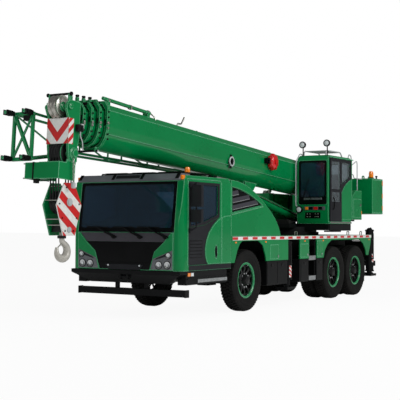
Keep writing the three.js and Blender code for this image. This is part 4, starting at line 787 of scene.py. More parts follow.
def cushion(low, high, crown, channels=(), axis=2, cuts=14):
    """A crowned pad between two corners, its sides drawn in between its own corners.

    The crown swells the faces along an axis by that depth; channels are places across
    the pad, from nought to one, where a sewn line holds the cloth down.
    """
    channel_width, channel_depth, draw_in = 0.07, 0.55, 0.35
    form = bmesh.new()
    bmesh.ops.create_cube(form, size=2.0)
    bmesh.ops.subdivide_edges(form, edges=form.edges, cuts=cuts, use_grid_fill=True)
    low, high = Vector(low), Vector(high)
    middle, half = (low + high) / 2, (high - low) / 2
    points = []
    others = [a for a in range(3) if a != axis]
    for vertex in form.verts:
        unit = vertex.co.copy()
        soft = [max(0.0, 1 - abs(unit[a]) ** 3) for a in range(3)]
        place = Vector([unit[a] * half[a] for a in range(3)])
        across, along = soft[others[0]], soft[others[1]]
        swell = crown * across * along
        for channel in channels:
            off = (unit[others[1]] - (2 * channel - 1)) / channel_width
            swell -= crown * channel_depth * math.exp(-off ** 2) * across
        outer = 1 if abs(unit[axis]) > 0.6 else abs(unit[axis]) / 0.6
        place[axis] = unit[axis] * (half[axis] - crown) + math.copysign(swell, unit[axis]) * outer
        for a in others:
            drawn = (1 - soft[a]) * (1 - abs(unit[axis]) ** 2 * 0.2) * abs(unit[axis]) ** 2
            place[a] -= math.copysign(draw_in * crown, unit[a]) * drawn
        points.append(tuple(middle + place))
    faces = [tuple(v.index for v in face.verts) for face in form.faces]
    form.free()
    return points, faces


floor_top = 1.061
seat_bases, seat_backs = [], []
for side in (-1, 1):
    inner, outer = sorted((side * 0.33, side * 0.87))
    seat_bases.append(cushion((back(1.32), inner, floor_top + 0.28),
            (back(0.785), outer, floor_top + 0.43), 0.02, (0.35, 0.65)))
    seat_backs.append(cushion((back(1.415), inner + 0.01, floor_top + 0.42),
            (back(1.26), outer - 0.01, floor_top + 1.045), 0.02, (0.3, 0.5, 0.7), axis=0))
for name, shapes in (("cab_seat_bases", seat_bases), ("cab_seat_backs", seat_backs)):
    piece(name, shapes, cloth, edge=0, sharp=180, replaces=("cab_seats",))
frames = [slab(0.80, 1.30, (side * 0.6 - 0.25, side * 0.6 + 0.25),
        (floor_top + 0.13, floor_top + 0.285)) for side in (-1, 1)]
frames.append(slab(0.82, 1.40, (-0.9, 0.9), (floor_top + 0.002, floor_top + 0.12)))
piece("cab_seat_frames", frames, trim, edge=0.015, replaces=("cab_seats",))

# ---------------------------------------------------------------- cab doors
# Pressed doors hung at their front edge, with a framed window, charcoal cladding ahead
# of a green swage, a vent, an oval handle cup and two mirrors on a bent arm.


def on_side(outline):
    """An outline of (behind, above) places as (X, Z) places in the vehicle's side view."""
    return [(back(x), z) for x, z in outline]


flank = half_width
sides = (("left", list), ("right", mirrored))
for side, mirror in sides:
    body = side + "_door"
    finished(side + "_door", enamel, edge=0.01)
    finished(side + "_mirrors", charcoal, edge=0.022, steepest=50)
    window_outer = [(0.275, 1.70), (0.275, 2.545), (1.385, 2.545), (1.385, 1.90), (0.80, 1.745)]
    window_inner = [(0.345, 1.735), (0.345, 2.495), (1.32, 2.495), (1.32, 1.945), (0.775, 1.80)]
    cladding = [(0.262, 1.008), (0.262, 1.695), (0.80, 1.74), (1.385, 1.895), (1.30, 1.85),
        (1.12, 1.74), (0.97, 1.60), (0.88, 1.45), (0.84, 1.30), (0.845, 1.17), (0.885, 1.07),
        (0.945, 1.008)]
    swage = [(0.957, 1.006), (0.897, 1.072), (0.858, 1.172), (0.853, 1.30), (0.893, 1.445),
        (0.982, 1.592), (1.13, 1.73), (1.31, 1.84), (1.452, 1.895), (1.452, 1.006)]
    piece(side + "_door_cladding",
        mirror([prism(on_side(cladding), "y", flank - 0.004, flank + 0.004),
            ring(on_side(window_outer), on_side(window_inner), "y", flank - 0.004, flank + 0.006)]),
        charcoal, body, edge=0.002)
    piece(side + "_door_swage", mirror([prism(on_side(swage), "y", flank - 0.004, flank + 0.011)]),
        enamel, body, edge=0.008)
    piece(side + "_door_glass",
        mirror([prism(on_side([(0.338, 1.73), (0.338, 2.502), (1.327, 2.502), (1.327, 1.938),
            (0.772, 1.794)]), "y", flank - 0.030, flank - 0.025)]), tinted, body, edge=0)
    # A gloss black plate behind the vent's slats is painted shade, standing for the vent's dark
    # recess.
    piece(side + "_door_vent_painted_shade",
        mirror([slab(0.295, 0.745, (flank - 0.002, flank + 0.0045), (1.135, 1.46))]), gloss_black,
        body, edge=0.001)
    piece(side + "_door_vent",
        mirror([slab(0.31, 0.73, (flank, flank + 0.007), (1.15 + 0.062 * n, 1.196 + 0.062 * n))
            for n in range(5)]), charcoal, body)
    cup, lip = [[(1.235 + width * math.cos(a), 1.235 + height * math.sin(a)) for a in circle(24)]
        for width, height in ((0.045, 0.125), (0.056, 0.137))]
    piece(side + "_door_handle_cup",
        mirror([prism(on_side(cup), "y", flank + 0.004, flank + 0.0125)]), gloss_black, body,
        edge=0.002)
    piece(side + "_door_handle_rim",
        mirror([ring(on_side(lip), on_side(cup), "y", flank + 0.004, flank + 0.016)]), enamel, body,
        edge=0.002)
    piece(side + "_door_pull",
        mirror([tube([(back(1.235), flank + 0.011, 1.14), (back(1.235), flank + 0.028, 1.17),
            (back(1.235), flank + 0.028, 1.3), (back(1.235), flank + 0.011, 1.33)], 0.012)]),
        charcoal, body, edge=0)
    piece(side + "_door_lining",
        mirror([slab(0.27, 1.44, (flank - 0.066, flank - 0.061), (1.02, 1.72))]), trim, body,
        edge=0)
    mirror_x = back(0.295)
    piece(side + "_mirror_glass",
        mirror([prism(rounded((flank + 0.045, flank + 0.235), z, 0.02), "x", mirror_x - 0.089,
            mirror_x - 0.083) for z in ((2.10, 2.46), (1.81, 2.01))]), chrome, body, edge=0)

# A charcoal cover hides the sill under the doors.
piece("sill_covers",
    both_sides([slab(0.275, 1.83, (half_width - 0.003, half_width + 0.003), (0.904, 0.998))]),
    charcoal, edge=0.002)

# ---------------------------------------------------------------- body fairings
# Moulded fairings sweep from the cab roof to the deck, with a louvred air intake
# behind the cab, its slats edged in bright trim.


def sill(x):
    """The height of the intake's sill, so far behind the cab's front face."""
    return 1.998 + (x - 1.885) * (2.165 - 1.995) / (3.150 - 1.885)


def slat_top(x, number):
    """The height of a slat's upper edge there; slats are counted from the lowest."""
    return sill(x) + 0.14 * (number + 1) + 0.012


for side, mirror in sides:
    finished(side + "_fairing", enamel, edge=0.012)
    intake_face = half_width - 0.034
    intake_top = [(1.89, 2.495), (2.10, 2.478), (2.32, 2.445), (2.55, 2.395), (2.77, 2.33),
        (2.97, 2.26), (3.13, 2.175)]
    floor_line = [(3.13, sill(3.13) + 0.004), (1.89, sill(1.89) + 0.004)]
    piece(side + "_intake_mesh",
        mirror([prism(on_side(intake_top + floor_line), "y", intake_face - 0.002,
            intake_face + 0.004)]), gloss_black, edge=0)
    slats, trims = [], []
    for n in range(3):
        limit = next((x for x in [1.9 + 0.01 * k for k in range(130)] if slat_top(x, n) > 2.5
                - 0.25 * ((x - 1.885) / 1.265) ** 1.7 - 0.01), 3.1)
        slats.append(([(back(x), y, z) for x in (1.895, limit - 0.02)
                for y, z in ((intake_face + 0.002, slat_top(x, n) - 0.012),
                (intake_face + 0.028, slat_top(x, n) - 0.105),
                (intake_face + 0.020, slat_top(x, n) - 0.115),
                (intake_face - 0.002, slat_top(x, n) - 0.03))], [(0, 1, 2, 3), (7, 6, 5, 4),
                (0, 4, 5, 1), (1, 5, 6, 2), (2, 6, 7, 3), (3, 7, 4, 0)]))
        trims.append(tube([(back(1.9), intake_face + 0.024, slat_top(1.9, n) - 0.1),
                (back(limit - 0.03), intake_face + 0.024, slat_top(limit - 0.03, n) - 0.1)], 0.007,
                8))
    piece(side + "_intake_slats", mirror(slats), band_grey)
    piece(side + "_intake_trims", mirror(trims), chrome, edge=0)
    # The swage of the door carries on along the cab and the fairing as a raised bead.
    piece(side + "_cab_swage",
        mirror([prism(on_side([(1.459, 1.006), (1.459, 1.897), (1.60, 1.925), (1.825, 1.945),
            (1.825, 1.006)]), "y", half_width - 0.004, half_width + 0.010)]), enamel, edge=0.008)
    piece(side + "_fairing_bead",
        mirror([tube([(back(1.85), half_width + 0.001, 1.955), (back(2.5), half_width + 0.001,
            2.045), (back(3.16), half_width + 0.001, 2.135)], 0.012, 8)]), enamel, edge=0)

# ---------------------------------------------------------------- wheels and tyres
# Radial block-tread tyres on black spoked steel wheels with a green flange, chromed
# nuts and hub caps. Each pair of rear twins turns as one.

# Tread rubber: matt black, dulled grey by dust, pebbled at 1 mm, drawn at 10 mm.
tyre_rubber = surface("tyre rubber", "#141414", "#1f1e1d", 220, 10, (0.78, 0.92), 0.7,
    Specular_IOR_Level=0.18)
# Stove enamel on the wheels: black, with a low sheen that the dust breaks up.
wheel_coat = surface("black wheel enamel", "#101112", "#17181a", 150, 8, (0.35, 0.48), 0.1,
    Specular_IOR_Level=0.3)
tyre_radius, tyre_half = 0.632, 0.159
bead_radius = 0.362


def tyre(centre):
    """A tyre's carcass, its blocks in four staggered rows, and ribs on its shoulders."""
    x, y, z = centre
    tread = tyre_radius - 0.022
    profile = [(bead_radius, -0.118), (0.39, -0.142), (0.46, -tyre_half + 0.004),
        (0.53, -tyre_half), (0.575, -0.152), (tread - 0.004, -0.130), (tread, -0.118),
        (tread, 0.118), (tread - 0.004, 0.130), (0.575, 0.152), (0.53, tyre_half),
        (0.46, tyre_half - 0.004), (0.39, 0.142), (bead_radius, 0.118)]
    shapes = [turned(profile, centre, "y", 72)]
    for ribs in (0.43, 0.505):
        for face in (-1, 1):
            y0 = face * (tyre_half - (0.012 if ribs < 0.45 else 0.003))
            shapes.append(turned([(ribs - 0.006, y0), (ribs, y0 + face * 0.006), (ribs + 0.006, y0),
                    (ribs, y0 - face * 0.01)], centre, "y", 48))
    count = 54
    for row, (low, high, turn) in enumerate(((-0.138, -0.078, 0.0), (-0.068, -0.006, 0.5),
                (0.006, 0.068, 0.0), (0.078, 0.138, 0.5))):
        outer = row in (0, 3)
        for n in range(count):
            start = (n + turn) * 2 * math.pi / count
            span = 2 * math.pi / count * (0.62 if outer else 0.72)
            skew = 0.012 if row < 2 else -0.012
            corners = []
            for radius, shrink in ((tread - 0.01, 0.0), (tyre_radius - 0.002, 0.002)):
                for along, angle in ((low, start), (high, start + skew),
                        (high, start + span + skew), (low, start + span)):
                    drop = 0.016 if outer and abs(along) > 0.1 else 0.0
                    angle += shrink if angle <= start + skew else -shrink
                    corners.append((x + (radius - drop) * math.cos(angle), y + along,
                            z + (radius - drop) * math.sin(angle)))
            shapes.append((corners, [(0, 1, 2, 3), (4, 5, 6, 7), (0, 1, 5, 4), (1, 2, 6, 5),
                    (2, 3, 7, 6), (3, 0, 4, 7)]))
    return shapes


def wheel(centre, out, width, dish):
    """The barrel, the spoked disc and its hub; out is the side that faces outwards."""
    x, y, z = centre
    flip = lambda pairs: [(r, out * a) for r, a in pairs]
    barrel = turned(flip([(0.34, -width), (0.36, -width - 0.01), (0.361, -width + 0.01),
            (0.352, width - 0.06), (0.352, width - 0.02), (0.34, width - 0.02),
            (0.335, width - 0.06)]), centre, "y", 56)
    disc_ring = turned(flip([(0.285, dish + 0.03), (0.343, dish + 0.01), (0.343, dish - 0.01),
            (0.285, dish + 0.01)]), centre, "y", 56)
    hub = turned(flip([(0, dish - 0.02), (0.175, dish - 0.01), (0.178, dish + 0.008),
            (0.165, dish + 0.018), (0.115, dish + 0.026), (0.105, dish + 0.058),
            (0.085, dish + 0.1), (0.05, dish + 0.112), (0, dish + 0.115)]), centre, "y", 40)
    spokes = []
    for angle in circle(10, 0.5):
        across = Vector((-math.sin(angle), 0, math.cos(angle)))
        outward = Vector((math.cos(angle), 0, math.sin(angle)))
        corners = []
        for radius, half, depth in ((0.16, 0.035, dish + 0.006), (0.225, 0.022, dish + 0.034),
                (0.30, 0.03, dish + 0.028)):
            for sign, low in ((-1, -0.016), (1, -0.016), (1, 0.0), (-1, 0.0)):
                corners.append(tuple(Vector((x, y + out * (depth + low), z)) + outward * radius
                        + across * sign * half))
        faces = [(0, 1, 2, 3), (8, 9, 10, 11)]
        faces += [(r * 4 + i, r * 4 + (i + 1) % 4, r * 4 + 4 + (i + 1) % 4, r * 4 + 4 + i)
            for r in (0, 1) for i in range(4)]
        spokes.append((corners, faces))
    flange = turned(flip([(0.322, width - 0.03), (0.319, width - 0.004), (0.338, width + 0.012),
            (0.362, width + 0.008), (0.364, width - 0.012), (0.354, width - 0.03)]), centre, "y",
        56)
    nuts = []
    for angle in circle(10):
        for radius, size, depth in ((0.142, 0.017, dish + 0.03), (0.313, 0.013, dish + 0.03)):
            place = (x + radius * math.cos(angle), y + out * depth, z + radius * math.sin(angle))
            nuts.append(disc(place, "y", size, 0.026, 6))
    nuts.append(turned(flip([(0, dish + 0.113), (0.03, dish + 0.112), (0.044, dish + 0.106),
            (0.048, dish + 0.096), (0, dish + 0.096)]), centre, "y", 28))
    return [barrel, disc_ring, hub] + spokes, [flange], nuts


front_axle_back, rear_axle_backs = 2.53, (6.895, 8.245)
for side, out in (("left", 1), ("right", -1)):
    centre = (back(front_axle_back), out * 1.09, tyre_radius)
    sets = [(f"front_{side}", f"front_{side}_tyre", f"front_{side}_wheel", [(centre, out)])]
    for number, axle in enumerate(rear_axle_backs, 1):
        middle = (back(axle), out * 0.915, tyre_radius)
        outer = (middle[0], out * 1.09, tyre_radius)
        inner = (middle[0], out * 0.74, tyre_radius)
        sets.append((f"rear_{side}_{number}", f"rear_{side}_tyres_{number}",
                f"rear_{side}_wheel_{number}", [(outer, out), (inner, -out)]))
    for name, tyre_node, wheel_node, wheels in sets:
        rubber_shapes, steel, green, bright = [], [], [], []
        for order, (centre, facing) in enumerate(wheels):
            rubber_shapes += tyre(centre)
            # The front disc stands well out, the rear outer one is set in behind its flange.
            parts = wheel(centre, facing, 0.112, 0.055 if len(wheels) == 1 else 0.02)
            steel += parts[0]
            green += parts[1]
            if order == 0:
                bright += parts[2]
        piece(name + "_tread", rubber_shapes, tyre_rubber, wheel_node, edge=0, sharp=40,
            replaces=(tyre_node,))
        piece(name + "_disc", steel, wheel_coat, wheel_node, edge=0, replaces=(wheel_node,))
        piece(name + "_flange", green, enamel, wheel_node, edge=0, replaces=(wheel_node,))
        piece(name + "_nuts", bright, chrome, wheel_node, edge=0, replaces=(wheel_node,))

# ---------------------------------------------------------------- outriggers
# Box beams slide out of the cross boxes; each carries a jack tube whose bright leg ends
# in a square pad. Banded tape marks the jacks.

# The jacks' distance from the middle, and half the angle of a band round its jack.
jack_y, band_reach = 1.13, 0.55
for end, box_back, top, pad in (("front", 4.4, 1.4, 0.34), ("rear", 9.3, 1.66, 0.44)):
    for side, out, centre in (("left", 1, 0.13), ("right", -1, 0.4)):
        name, x = f"{end}_{side}", back(box_back + centre)
        finished(name + "_outrigger", black_coat)
        finished(name + "_jack", black_coat)
        mirror = list if out > 0 else mirrored
        piece(name + "_jack_collars",
            mirror([turned([(0.1045, z - 0.02), (0.118, z - 0.02), (0.118, z + 0.02),
                (0.1045, z + 0.02)], (x, jack_y, 0), "z", 32) for z in (0.575, top - 0.03, 0.9)]
                + [block((x - 0.03, x + 0.03), (jack_y + 0.09, jack_y + 0.112), (0.9, top - 0.1))]),
            black_coat, name + "_beam", edge=0.004)
        piece(name + "_jack_cap",
            mirror([turned([(0, top), (0.07, top), (0.07, top + 0.02), (0.03, top + 0.045),
                (0, top + 0.045)], (x, jack_y, 0), "z", 24),
                tube([(x - 0.04, jack_y, top + 0.03), (x - 0.1, jack_y, top + 0.05),
                (x - 0.12, jack_y - 0.06, top - 0.1)], 0.012)]), black_coat, name + "_beam")
        # The band is wrapped round the jack's outer face.
        low, high = (0.61, 0.865) if end == "front" else (0.80, 1.02)
        bands, slashes = [], []
        for low_z, high_z, store in [(low, high, bands)] + [(low + 0.01 + 0.09 * n,
                    low + 0.05 + 0.09 * n, slashes) for n in range(3)]:
            reach = 0.1062 if store is bands else 0.1072
            points = []
            for radius in (reach - 0.003, reach):
                for level in (0, 1):
                    for k in range(9):
                        angle = math.pi / 2 + band_reach * (k / 8 * 2 - 1)
                        slope = 0 if store is bands else 0.045 * (k / 8 * 2 - 1) * -out
                        z = (high_z if level else low_z) + slope
                        z = min(max(z, low), high)
                        points.append((x + radius * math.cos(angle),
                                jack_y + radius * math.sin(angle), z))
            faces = []
            for k in range(8):
                faces += [(k, k + 1, 9 + k + 1, 9 + k), (18 + k, 18 + k + 1, 27 + k + 1, 27 + k),
                    (k, k + 1, 18 + k + 1, 18 + k), (9 + k, 9 + k + 1, 27 + k + 1, 27 + k)]
            faces += [(0, 9, 27, 18), (8, 17, 35, 26)]
            store.append((points, faces))
        piece(name + "_band_white", mirror(bands), white_tape, name + "_beam", edge=0)
        piece(name + "_band_red", mirror(slashes), red_tape, name + "_beam", edge=0)
        piece(name + "_pad_ribs",
            mirror([block((x - 0.15, x + 0.15), (jack_y - 0.008, jack_y + 0.008),
                (pad + 0.055, pad + 0.09)), block((x - 0.008, x + 0.008),
                (jack_y - 0.15, jack_y + 0.1), (pad + 0.055, pad + 0.09))]), black_coat,
            name + "_leg")
piece("reach_labels",
    both_sides([slab(x - 0.018, x + 0.018, (half_width - 0.262, half_width - 0.256), (1.20, 1.38))
        for x in (4.41, 4.93)]), white_tape, edge=0)

# ---------------------------------------------------------------- slewing platform
# A bolted slewing ring carries a black welded platform, whose two green cheeks hold the
# boom's pivot pin. Bolt heads ring the bearing.

upper = functools.partial(piece, body="upper_works")
finished("turntable", black_coat, edge=0.008)
slew_x, cheek_face = back(7.0), 0.395
cheek_outline = on_side([(8.17, 1.81), (8.755, 2.735), (8.935, 2.812), (9.065, 2.812), (9.17, 2.70),
        (9.455, 1.81)])
upper("cheek_plates",
    both_sides([prism(cheek_outline, "y", cheek_face - 0.003, cheek_face + 0.004)]), enamel)
upper("slewing_bolts", bolts([(slew_x + 0.61 * math.cos(a), 0.61 * math.sin(a), 1.618)
        for a in circle(36)], "z", 0.016, 0.03), zinc, edge=0)
upper("pivot_caps",
    both_sides([turned([(0, 0), (0.13, 0), (0.13, 0.018), (0.07, 0.03), (0, 0.03)],
        (back(9.0), cheek_face + 0.003, 2.65), "y", 36)]), enamel)
upper("platform_hoses",
    [bent([(back(6.35), y, 1.81), (back(6.7), y, 1.86), (back(7.2), y + 0.05, 1.87),
        (back(7.7), y + 0.02, 1.84)], 0.016, 0.1) for y in (-0.3, -0.25, 0.24, 0.29)]
    + [slab(6.40, 6.55, (-0.2, 0.2), (1.79, 1.90)), slab(6.18, 6.32, (0.12, 0.36), (1.79, 1.88))],
    rubber, edge=0)

# ---------------------------------------------------------------- crane cab
# A pressed steel cab with a framed screen, a charcoal sliding door on its outer rail, a
# lamp strip and sockets under the screen, and a rack with two work lamps on its roof.

finished("crane_cab", enamel, edge=0.018)
finished("crane_cab_windscreen", tinted, edge=0.001)
finished("crane_cab_door", charcoal, edge=0.008)
crane_front, crane_side = back(6.6), 1.2
upper("crane_screen_border",
    [ring(rounded((0.425, 1.16), (2.262, 3.325), 0.05), rounded((0.475, 1.11), (2.45, 3.275), 0.05),
        "x", crane_front - 0.012, crane_front + 0.004),
        block((crane_front - 0.002, crane_front + 0.010), (0.47, 1.12), (2.29, 2.36))], gloss_black,
    edge=0.002)
upper("crane_screen_vent", [block((crane_front + 0.004, crane_front + 0.012), (0.56, 1.04),
        (2.375, 2.425))], lamp_grey, edge=0.004)
upper("crane_screen_wiper", [disc((crane_front + 0.02, 0.80, 2.33), "x", 0.024, 0.03, 20),
        tube([(crane_front + 0.03, 0.80, 2.33), (crane_front + 0.024, 0.62, 2.62)], 0.007),
        tube([(crane_front + 0.012, 0.55, 2.45), (crane_front + 0.012, 0.70, 2.90)], 0.007)],
    gloss_black, edge=0)
strip = (2.135, 2.205)
upper("lamp_strip", [block((crane_front - 0.004, crane_front + 0.010), (0.56, 1.12),
        (strip[0] - 0.012, strip[1] + 0.012))], lamp_grey, edge=0.005)
upper("strip_amber", [block((crane_front, crane_front + 0.018), (0.60, 0.68), strip)], amber_lens,
    edge=0.005)
upper("strip_red", [block((crane_front, crane_front + 0.018), (0.82, 0.93), strip)], red_lens,
    edge=0.005)
upper("strip_black", [block((crane_front, crane_front + 0.016), y, strip)
        for y in ((0.70, 0.80), (0.95, 1.05))], gloss_black, edge=0.005)
upper("socket_panel", [block((crane_front - 0.004, crane_front + 0.012), (0.60, 1.0),
        (1.93, 2.075))], gloss_black, edge=0.008)
upper("sockets", [disc((crane_front + 0.014, y, z), "x", 0.017, 0.012, 16)
        for y in (0.66, 0.73, 0.87, 0.94) for z in (1.968, 2.037)], zinc, edge=0.002)


def work_lamp(place, radius=0.08):
    """A round lamp on its stem: housing and clear face."""
    x, y, z = place
    return (turned([(0, -0.07), (radius * 0.6, -0.065), (radius, -0.03), (radius * 1.06, 0.0),
            (radius * 1.06, 0.02), (radius * 0.9, 0.024), (0, 0.012)], place, "x", 32),
        turned([(0, 0.016), (radius * 0.86, 0.018), (radius * 0.6, 0.027), (0, 0.03)], place, "x",
            32))


lamp_sites = [(crane_front - 0.05, 1.14, 3.74), (crane_front - 0.05, 0.50, 3.72),
    (crane_front + 0.05, 0.46, 2.14)]
lamp_parts = [work_lamp(place) for place in lamp_sites]
upper("work_lamp_bodies", [parts[0] for parts in lamp_parts]
    + [tube([(x - 0.03, y, z - 0.06), (x - 0.03, y, 3.44)], 0.014) for x, y, z in lamp_sites[:2]]
    + [tube([(crane_front + 0.02, 0.46, 2.12), (crane_front - 0.01, 0.46, 2.06)], 0.012)],
    black_coat, edge=0)
upper("work_lamp_faces", [parts[1] for parts in lamp_parts], clear_lens, edge=0)

# The charcoal surround of the rear side window and the green swage below it.
side_window = on_side([(7.352, 3.40), (8.02, 3.40), (8.045, 2.90), (7.352, 2.30)])
side_hole = on_side([(7.43, 3.325), (7.945, 3.325), (7.955, 2.98), (7.43, 2.775)])
upper("crane_cab_surround",
    [ring(side_window, side_hole, "y", crane_side - 0.004, crane_side + 0.002)], charcoal,
    edge=0.001)
upper("crane_cab_swage",
    [prism(on_side([(8.05, 2.93), (7.86, 2.87), (7.68, 2.79), (7.54, 2.70), (7.43, 2.58),
        (7.37, 2.45), (7.352, 2.3), (7.352, 1.98), (7.37, 1.93), (7.42, 1.90), (8.05, 1.90)]), "y",
        crane_side - 0.004, crane_side + 0.0028)], enamel, edge=0.002)
# Toughened side glass: nearly clear, with a faint cool tint.
clear_glass = surface("clear toughened glass", "#c3d0d6", "#bccad1", 900, 60, (0.02, 0.05), 0.0,
    Transmission_Weight=0.92, IOR=1.45, Specular_IOR_Level=0.4)
upper("crane_cab_glass", [slab(7.38, 8.0, (crane_side - 0.026, crane_side - 0.02), (2.75, 3.34)),
        slab(6.71, 7.96, (0.392, 0.398), (2.44, 3.31)), slab(8.056, 8.062, (0.49, 1.09),
        (2.69, 3.31))], clear_glass, edge=0)
piece("crane_door_glass", [slab(6.722, 7.262, (1.218, 1.223), z)
        for z in ((2.63, 3.32), (2.32, 2.58))], clear_glass, "crane_cab_door", edge=0)
piece("crane_door_panel", [slab(6.75, 7.24, (1.234, 1.24), (1.92, 2.24))], charcoal,
    "crane_cab_door", edge=0.004)
piece("crane_door_pull",
    [bent([(back(6.80), 1.236, 2.14), (back(6.80), 1.275, 2.17), (back(6.80), 1.275, 2.40),
        (back(6.80), 1.236, 2.43)], 0.013, 0.03)], gloss_black, "crane_cab_door", edge=0)
upper("door_rail_trim", [slab(6.65, 7.93, (1.243, 1.247), (1.81, 1.845))], zinc, edge=0.001)
upper("crane_cab_step", [slab(6.70, 8.0, (1.18, 1.2), (1.63, 1.795)), slab(6.80, 7.30, (1.0, 1.235),
        (1.60, 1.635))], black_coat, edge=0.008)

# Light grey tube makes the grab rails: beside the screen, over the roof and behind. The
# powder coat is an even pale grey with a soft sheen.
rail_coat = surface("light grey powder coat", "#b9bdbf", "#aeb2b4", 300, 8, (0.3, 0.4), 0.08)
upper("grab_rails",
    [bent([(crane_front + 0.01, 0.40, 2.20), (crane_front + 0.09, 0.385, 2.24),
        (crane_front + 0.09, 0.385, 3.30), (crane_front - 0.06, 0.43, 3.52),
        (crane_front - 0.18, 0.46, 3.46)], 0.013, 0.08),
        bent([(back(8.0), 1.12, 3.45), (back(8.05), 1.12, 3.56), (back(8.20), 1.12, 3.52),
        (back(8.22), 1.12, 2.66)], 0.013, 0.05),
        bent([(back(8.25), 1.12, 3.30), (back(8.56), 1.12, 3.42), (back(8.60), 1.12, 3.36),
        (back(8.60), 1.12, 2.655)], 0.013, 0.05),
        bent([(back(8.25), 0.9, 2.66), (back(8.25), 0.9, 3.05), (back(8.86), 0.9, 3.10),
        (back(8.92), 0.9, 3.0), (back(9.48), 0.9, 3.0)], 0.013, 0.06)], rail_coat, edge=0)
rack_rails = [bent([(crane_front - 0.12, y, 3.45), (crane_front - 0.16, y, 3.575),
        (back(7.60), y, 3.575), (back(7.72), y, 3.45)], 0.016, 0.06) for y in (0.5, 1.08)]
rack_rails += [tube([(back(x), 0.5, 3.575), (back(x), 1.08, 3.575)], 0.011)
    for x in (6.85, 7.0, 7.15, 7.3, 7.45, 7.6)]
upper("crane_cab_rack", rack_rails, rail_coat, edge=0)
upper("crane_cab_roof_hatch", [slab(7.2, 7.85, (0.55, 1.02), (3.455, 3.48))], black_coat,
    edge=0.012)

# The operator's seat, its consoles and the cab's trim.
seat_floor = 1.8405
seat_middle = 0.79
operator_pads = {"operator_seat_base": cushion((back(7.66), seat_middle - 0.25, seat_floor + 0.35),
        (back(7.16), seat_middle + 0.25, seat_floor + 0.49), 0.02, (0.35, 0.65)),
    "operator_seat_back": cushion((back(7.79), seat_middle - 0.24, seat_floor + 0.48),
        (back(7.65), seat_middle + 0.24, seat_floor + 1.20), 0.02, (0.3, 0.5, 0.7), axis=0)}
for name, pad in operator_pads.items():
    upper(name, [pad], cloth, edge=0, sharp=180, replaces=("operator_seat",))
upper("operator_seat_frame", [slab(7.26, 7.74, (seat_middle - 0.15, seat_middle + 0.15),
        (seat_floor + 0.003, seat_floor + 0.30)),
        slab(7.20, 7.70, (seat_middle - 0.22, seat_middle + 0.22),
        (seat_floor + 0.295, seat_floor + 0.355))]
    + [slab(7.12, 7.62, (seat_middle + s * 0.30 - 0.032, seat_middle + s * 0.30 + 0.032),
        (seat_floor + 0.60, seat_floor + 0.675)) for s in (-1, 1)]
    + [tube([(back(7.16), seat_middle + s * 0.30, seat_floor + 0.67),
        (back(7.15), seat_middle + s * 0.30, seat_floor + 0.80)], 0.014) for s in (-1, 1)], trim,
    edge=0.012, replaces=("operator_seat",))
upper("crane_cab_trim", [slab(6.66, 8.02, (0.422, 1.158), (3.405, 3.415)),
        slab(8.02, 8.028, (0.43, 1.15), (1.86, 2.69)), slab(6.66, 8.0, (0.422, 0.430),
        (1.86, 2.44)), slab(7.36, 8.0, (1.15, 1.158), (1.86, 2.74)), slab(6.66, 8.0, (0.43, 1.15),
        (1.842, 1.85)), slab(6.645, 6.70, (0.43, 1.15), (1.85, 2.26)),
        slab(6.70, 6.86, (0.44, 0.60), (1.85, 2.45)), slab(6.80, 6.84, (0.45, 0.62), (2.45, 2.62))],
    trim, edge=0.006)

# ---------------------------------------------------------------- tank and cabinet
# The hydraulic tank stands on the right with its filler, breather and sight gauge; the
# folded cabinet on the left has a flush door and a paddle latch.

finished("hydraulic_tank", enamel, edge=0.03)
finished("tool_cabinet", enamel, edge=0.012)
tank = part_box("hydraulic_tank")
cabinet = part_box("tool_cabinet")
upper("tank_fittings",
    [turned([(0, 0), (0.075, 0), (0.075, 0.03), (0.06, 0.045), (0.06, 0.075), (0, 0.085)],
        (back(7.0), -0.7, tank[1].z - 0.002), "z", 32),
        turned([(0, 0), (0.04, 0), (0.04, 0.06), (0.055, 0.065), (0.055, 0.11), (0, 0.12)],
        (back(7.5), -0.85, tank[1].z - 0.002), "z", 32),
        slab(7.68, 7.74, (tank[0].y - 0.012, tank[0].y + 0.002), (1.95, 2.35)),
        slab(6.9, 7.3, (tank[0].y - 0.010, tank[0].y + 0.002), (2.05, 2.10))], zinc)
upper("tank_straps_upper",
    [ring(rounded((tank[0].y - 0.006, tank[1].y + 0.006), (tank[0].z + 0.004, tank[1].z + 0.006),
        0.03, 3), rounded((tank[0].y + 0.002, tank[1].y - 0.002),
        (tank[0].z + 0.012, tank[1].z - 0.002), 0.028, 3), "x", back(x + 0.025), back(x - 0.025))
        for x in (6.95, 7.8)], black_coat, edge=0)
upper("cabinet_door",
    [block((cabinet[0].x + 0.05, cabinet[1].x - 0.05), (cabinet[1].y - 0.004, cabinet[1].y + 0.008),
        (1.96, 2.44)), block((cabinet[0].x - 0.004, cabinet[0].x + 0.004), (0.5, 1.14),
        (1.97, 2.6))], enamel, edge=0.006)
upper("cabinet_latch",
    [block((cabinet[0].x + 0.08, cabinet[0].x + 0.15), (cabinet[1].y + 0.006, cabinet[1].y + 0.022),
        (2.26, 2.31))], chrome, edge=0.005)
upper("cabinet_reflector",
    [block((cabinet[0].x + 0.012, cabinet[0].x + 0.04),
        (cabinet[1].y - 0.002, cabinet[1].y + 0.008), (2.04, 2.14))], amber_lens, edge=0.004)

# ---------------------------------------------------------------- counterweight
# A steel-cased casting in green enamel, with lifting eyes, corner reflectors, a beacon
# on its left rear and a stop lamp pair behind.

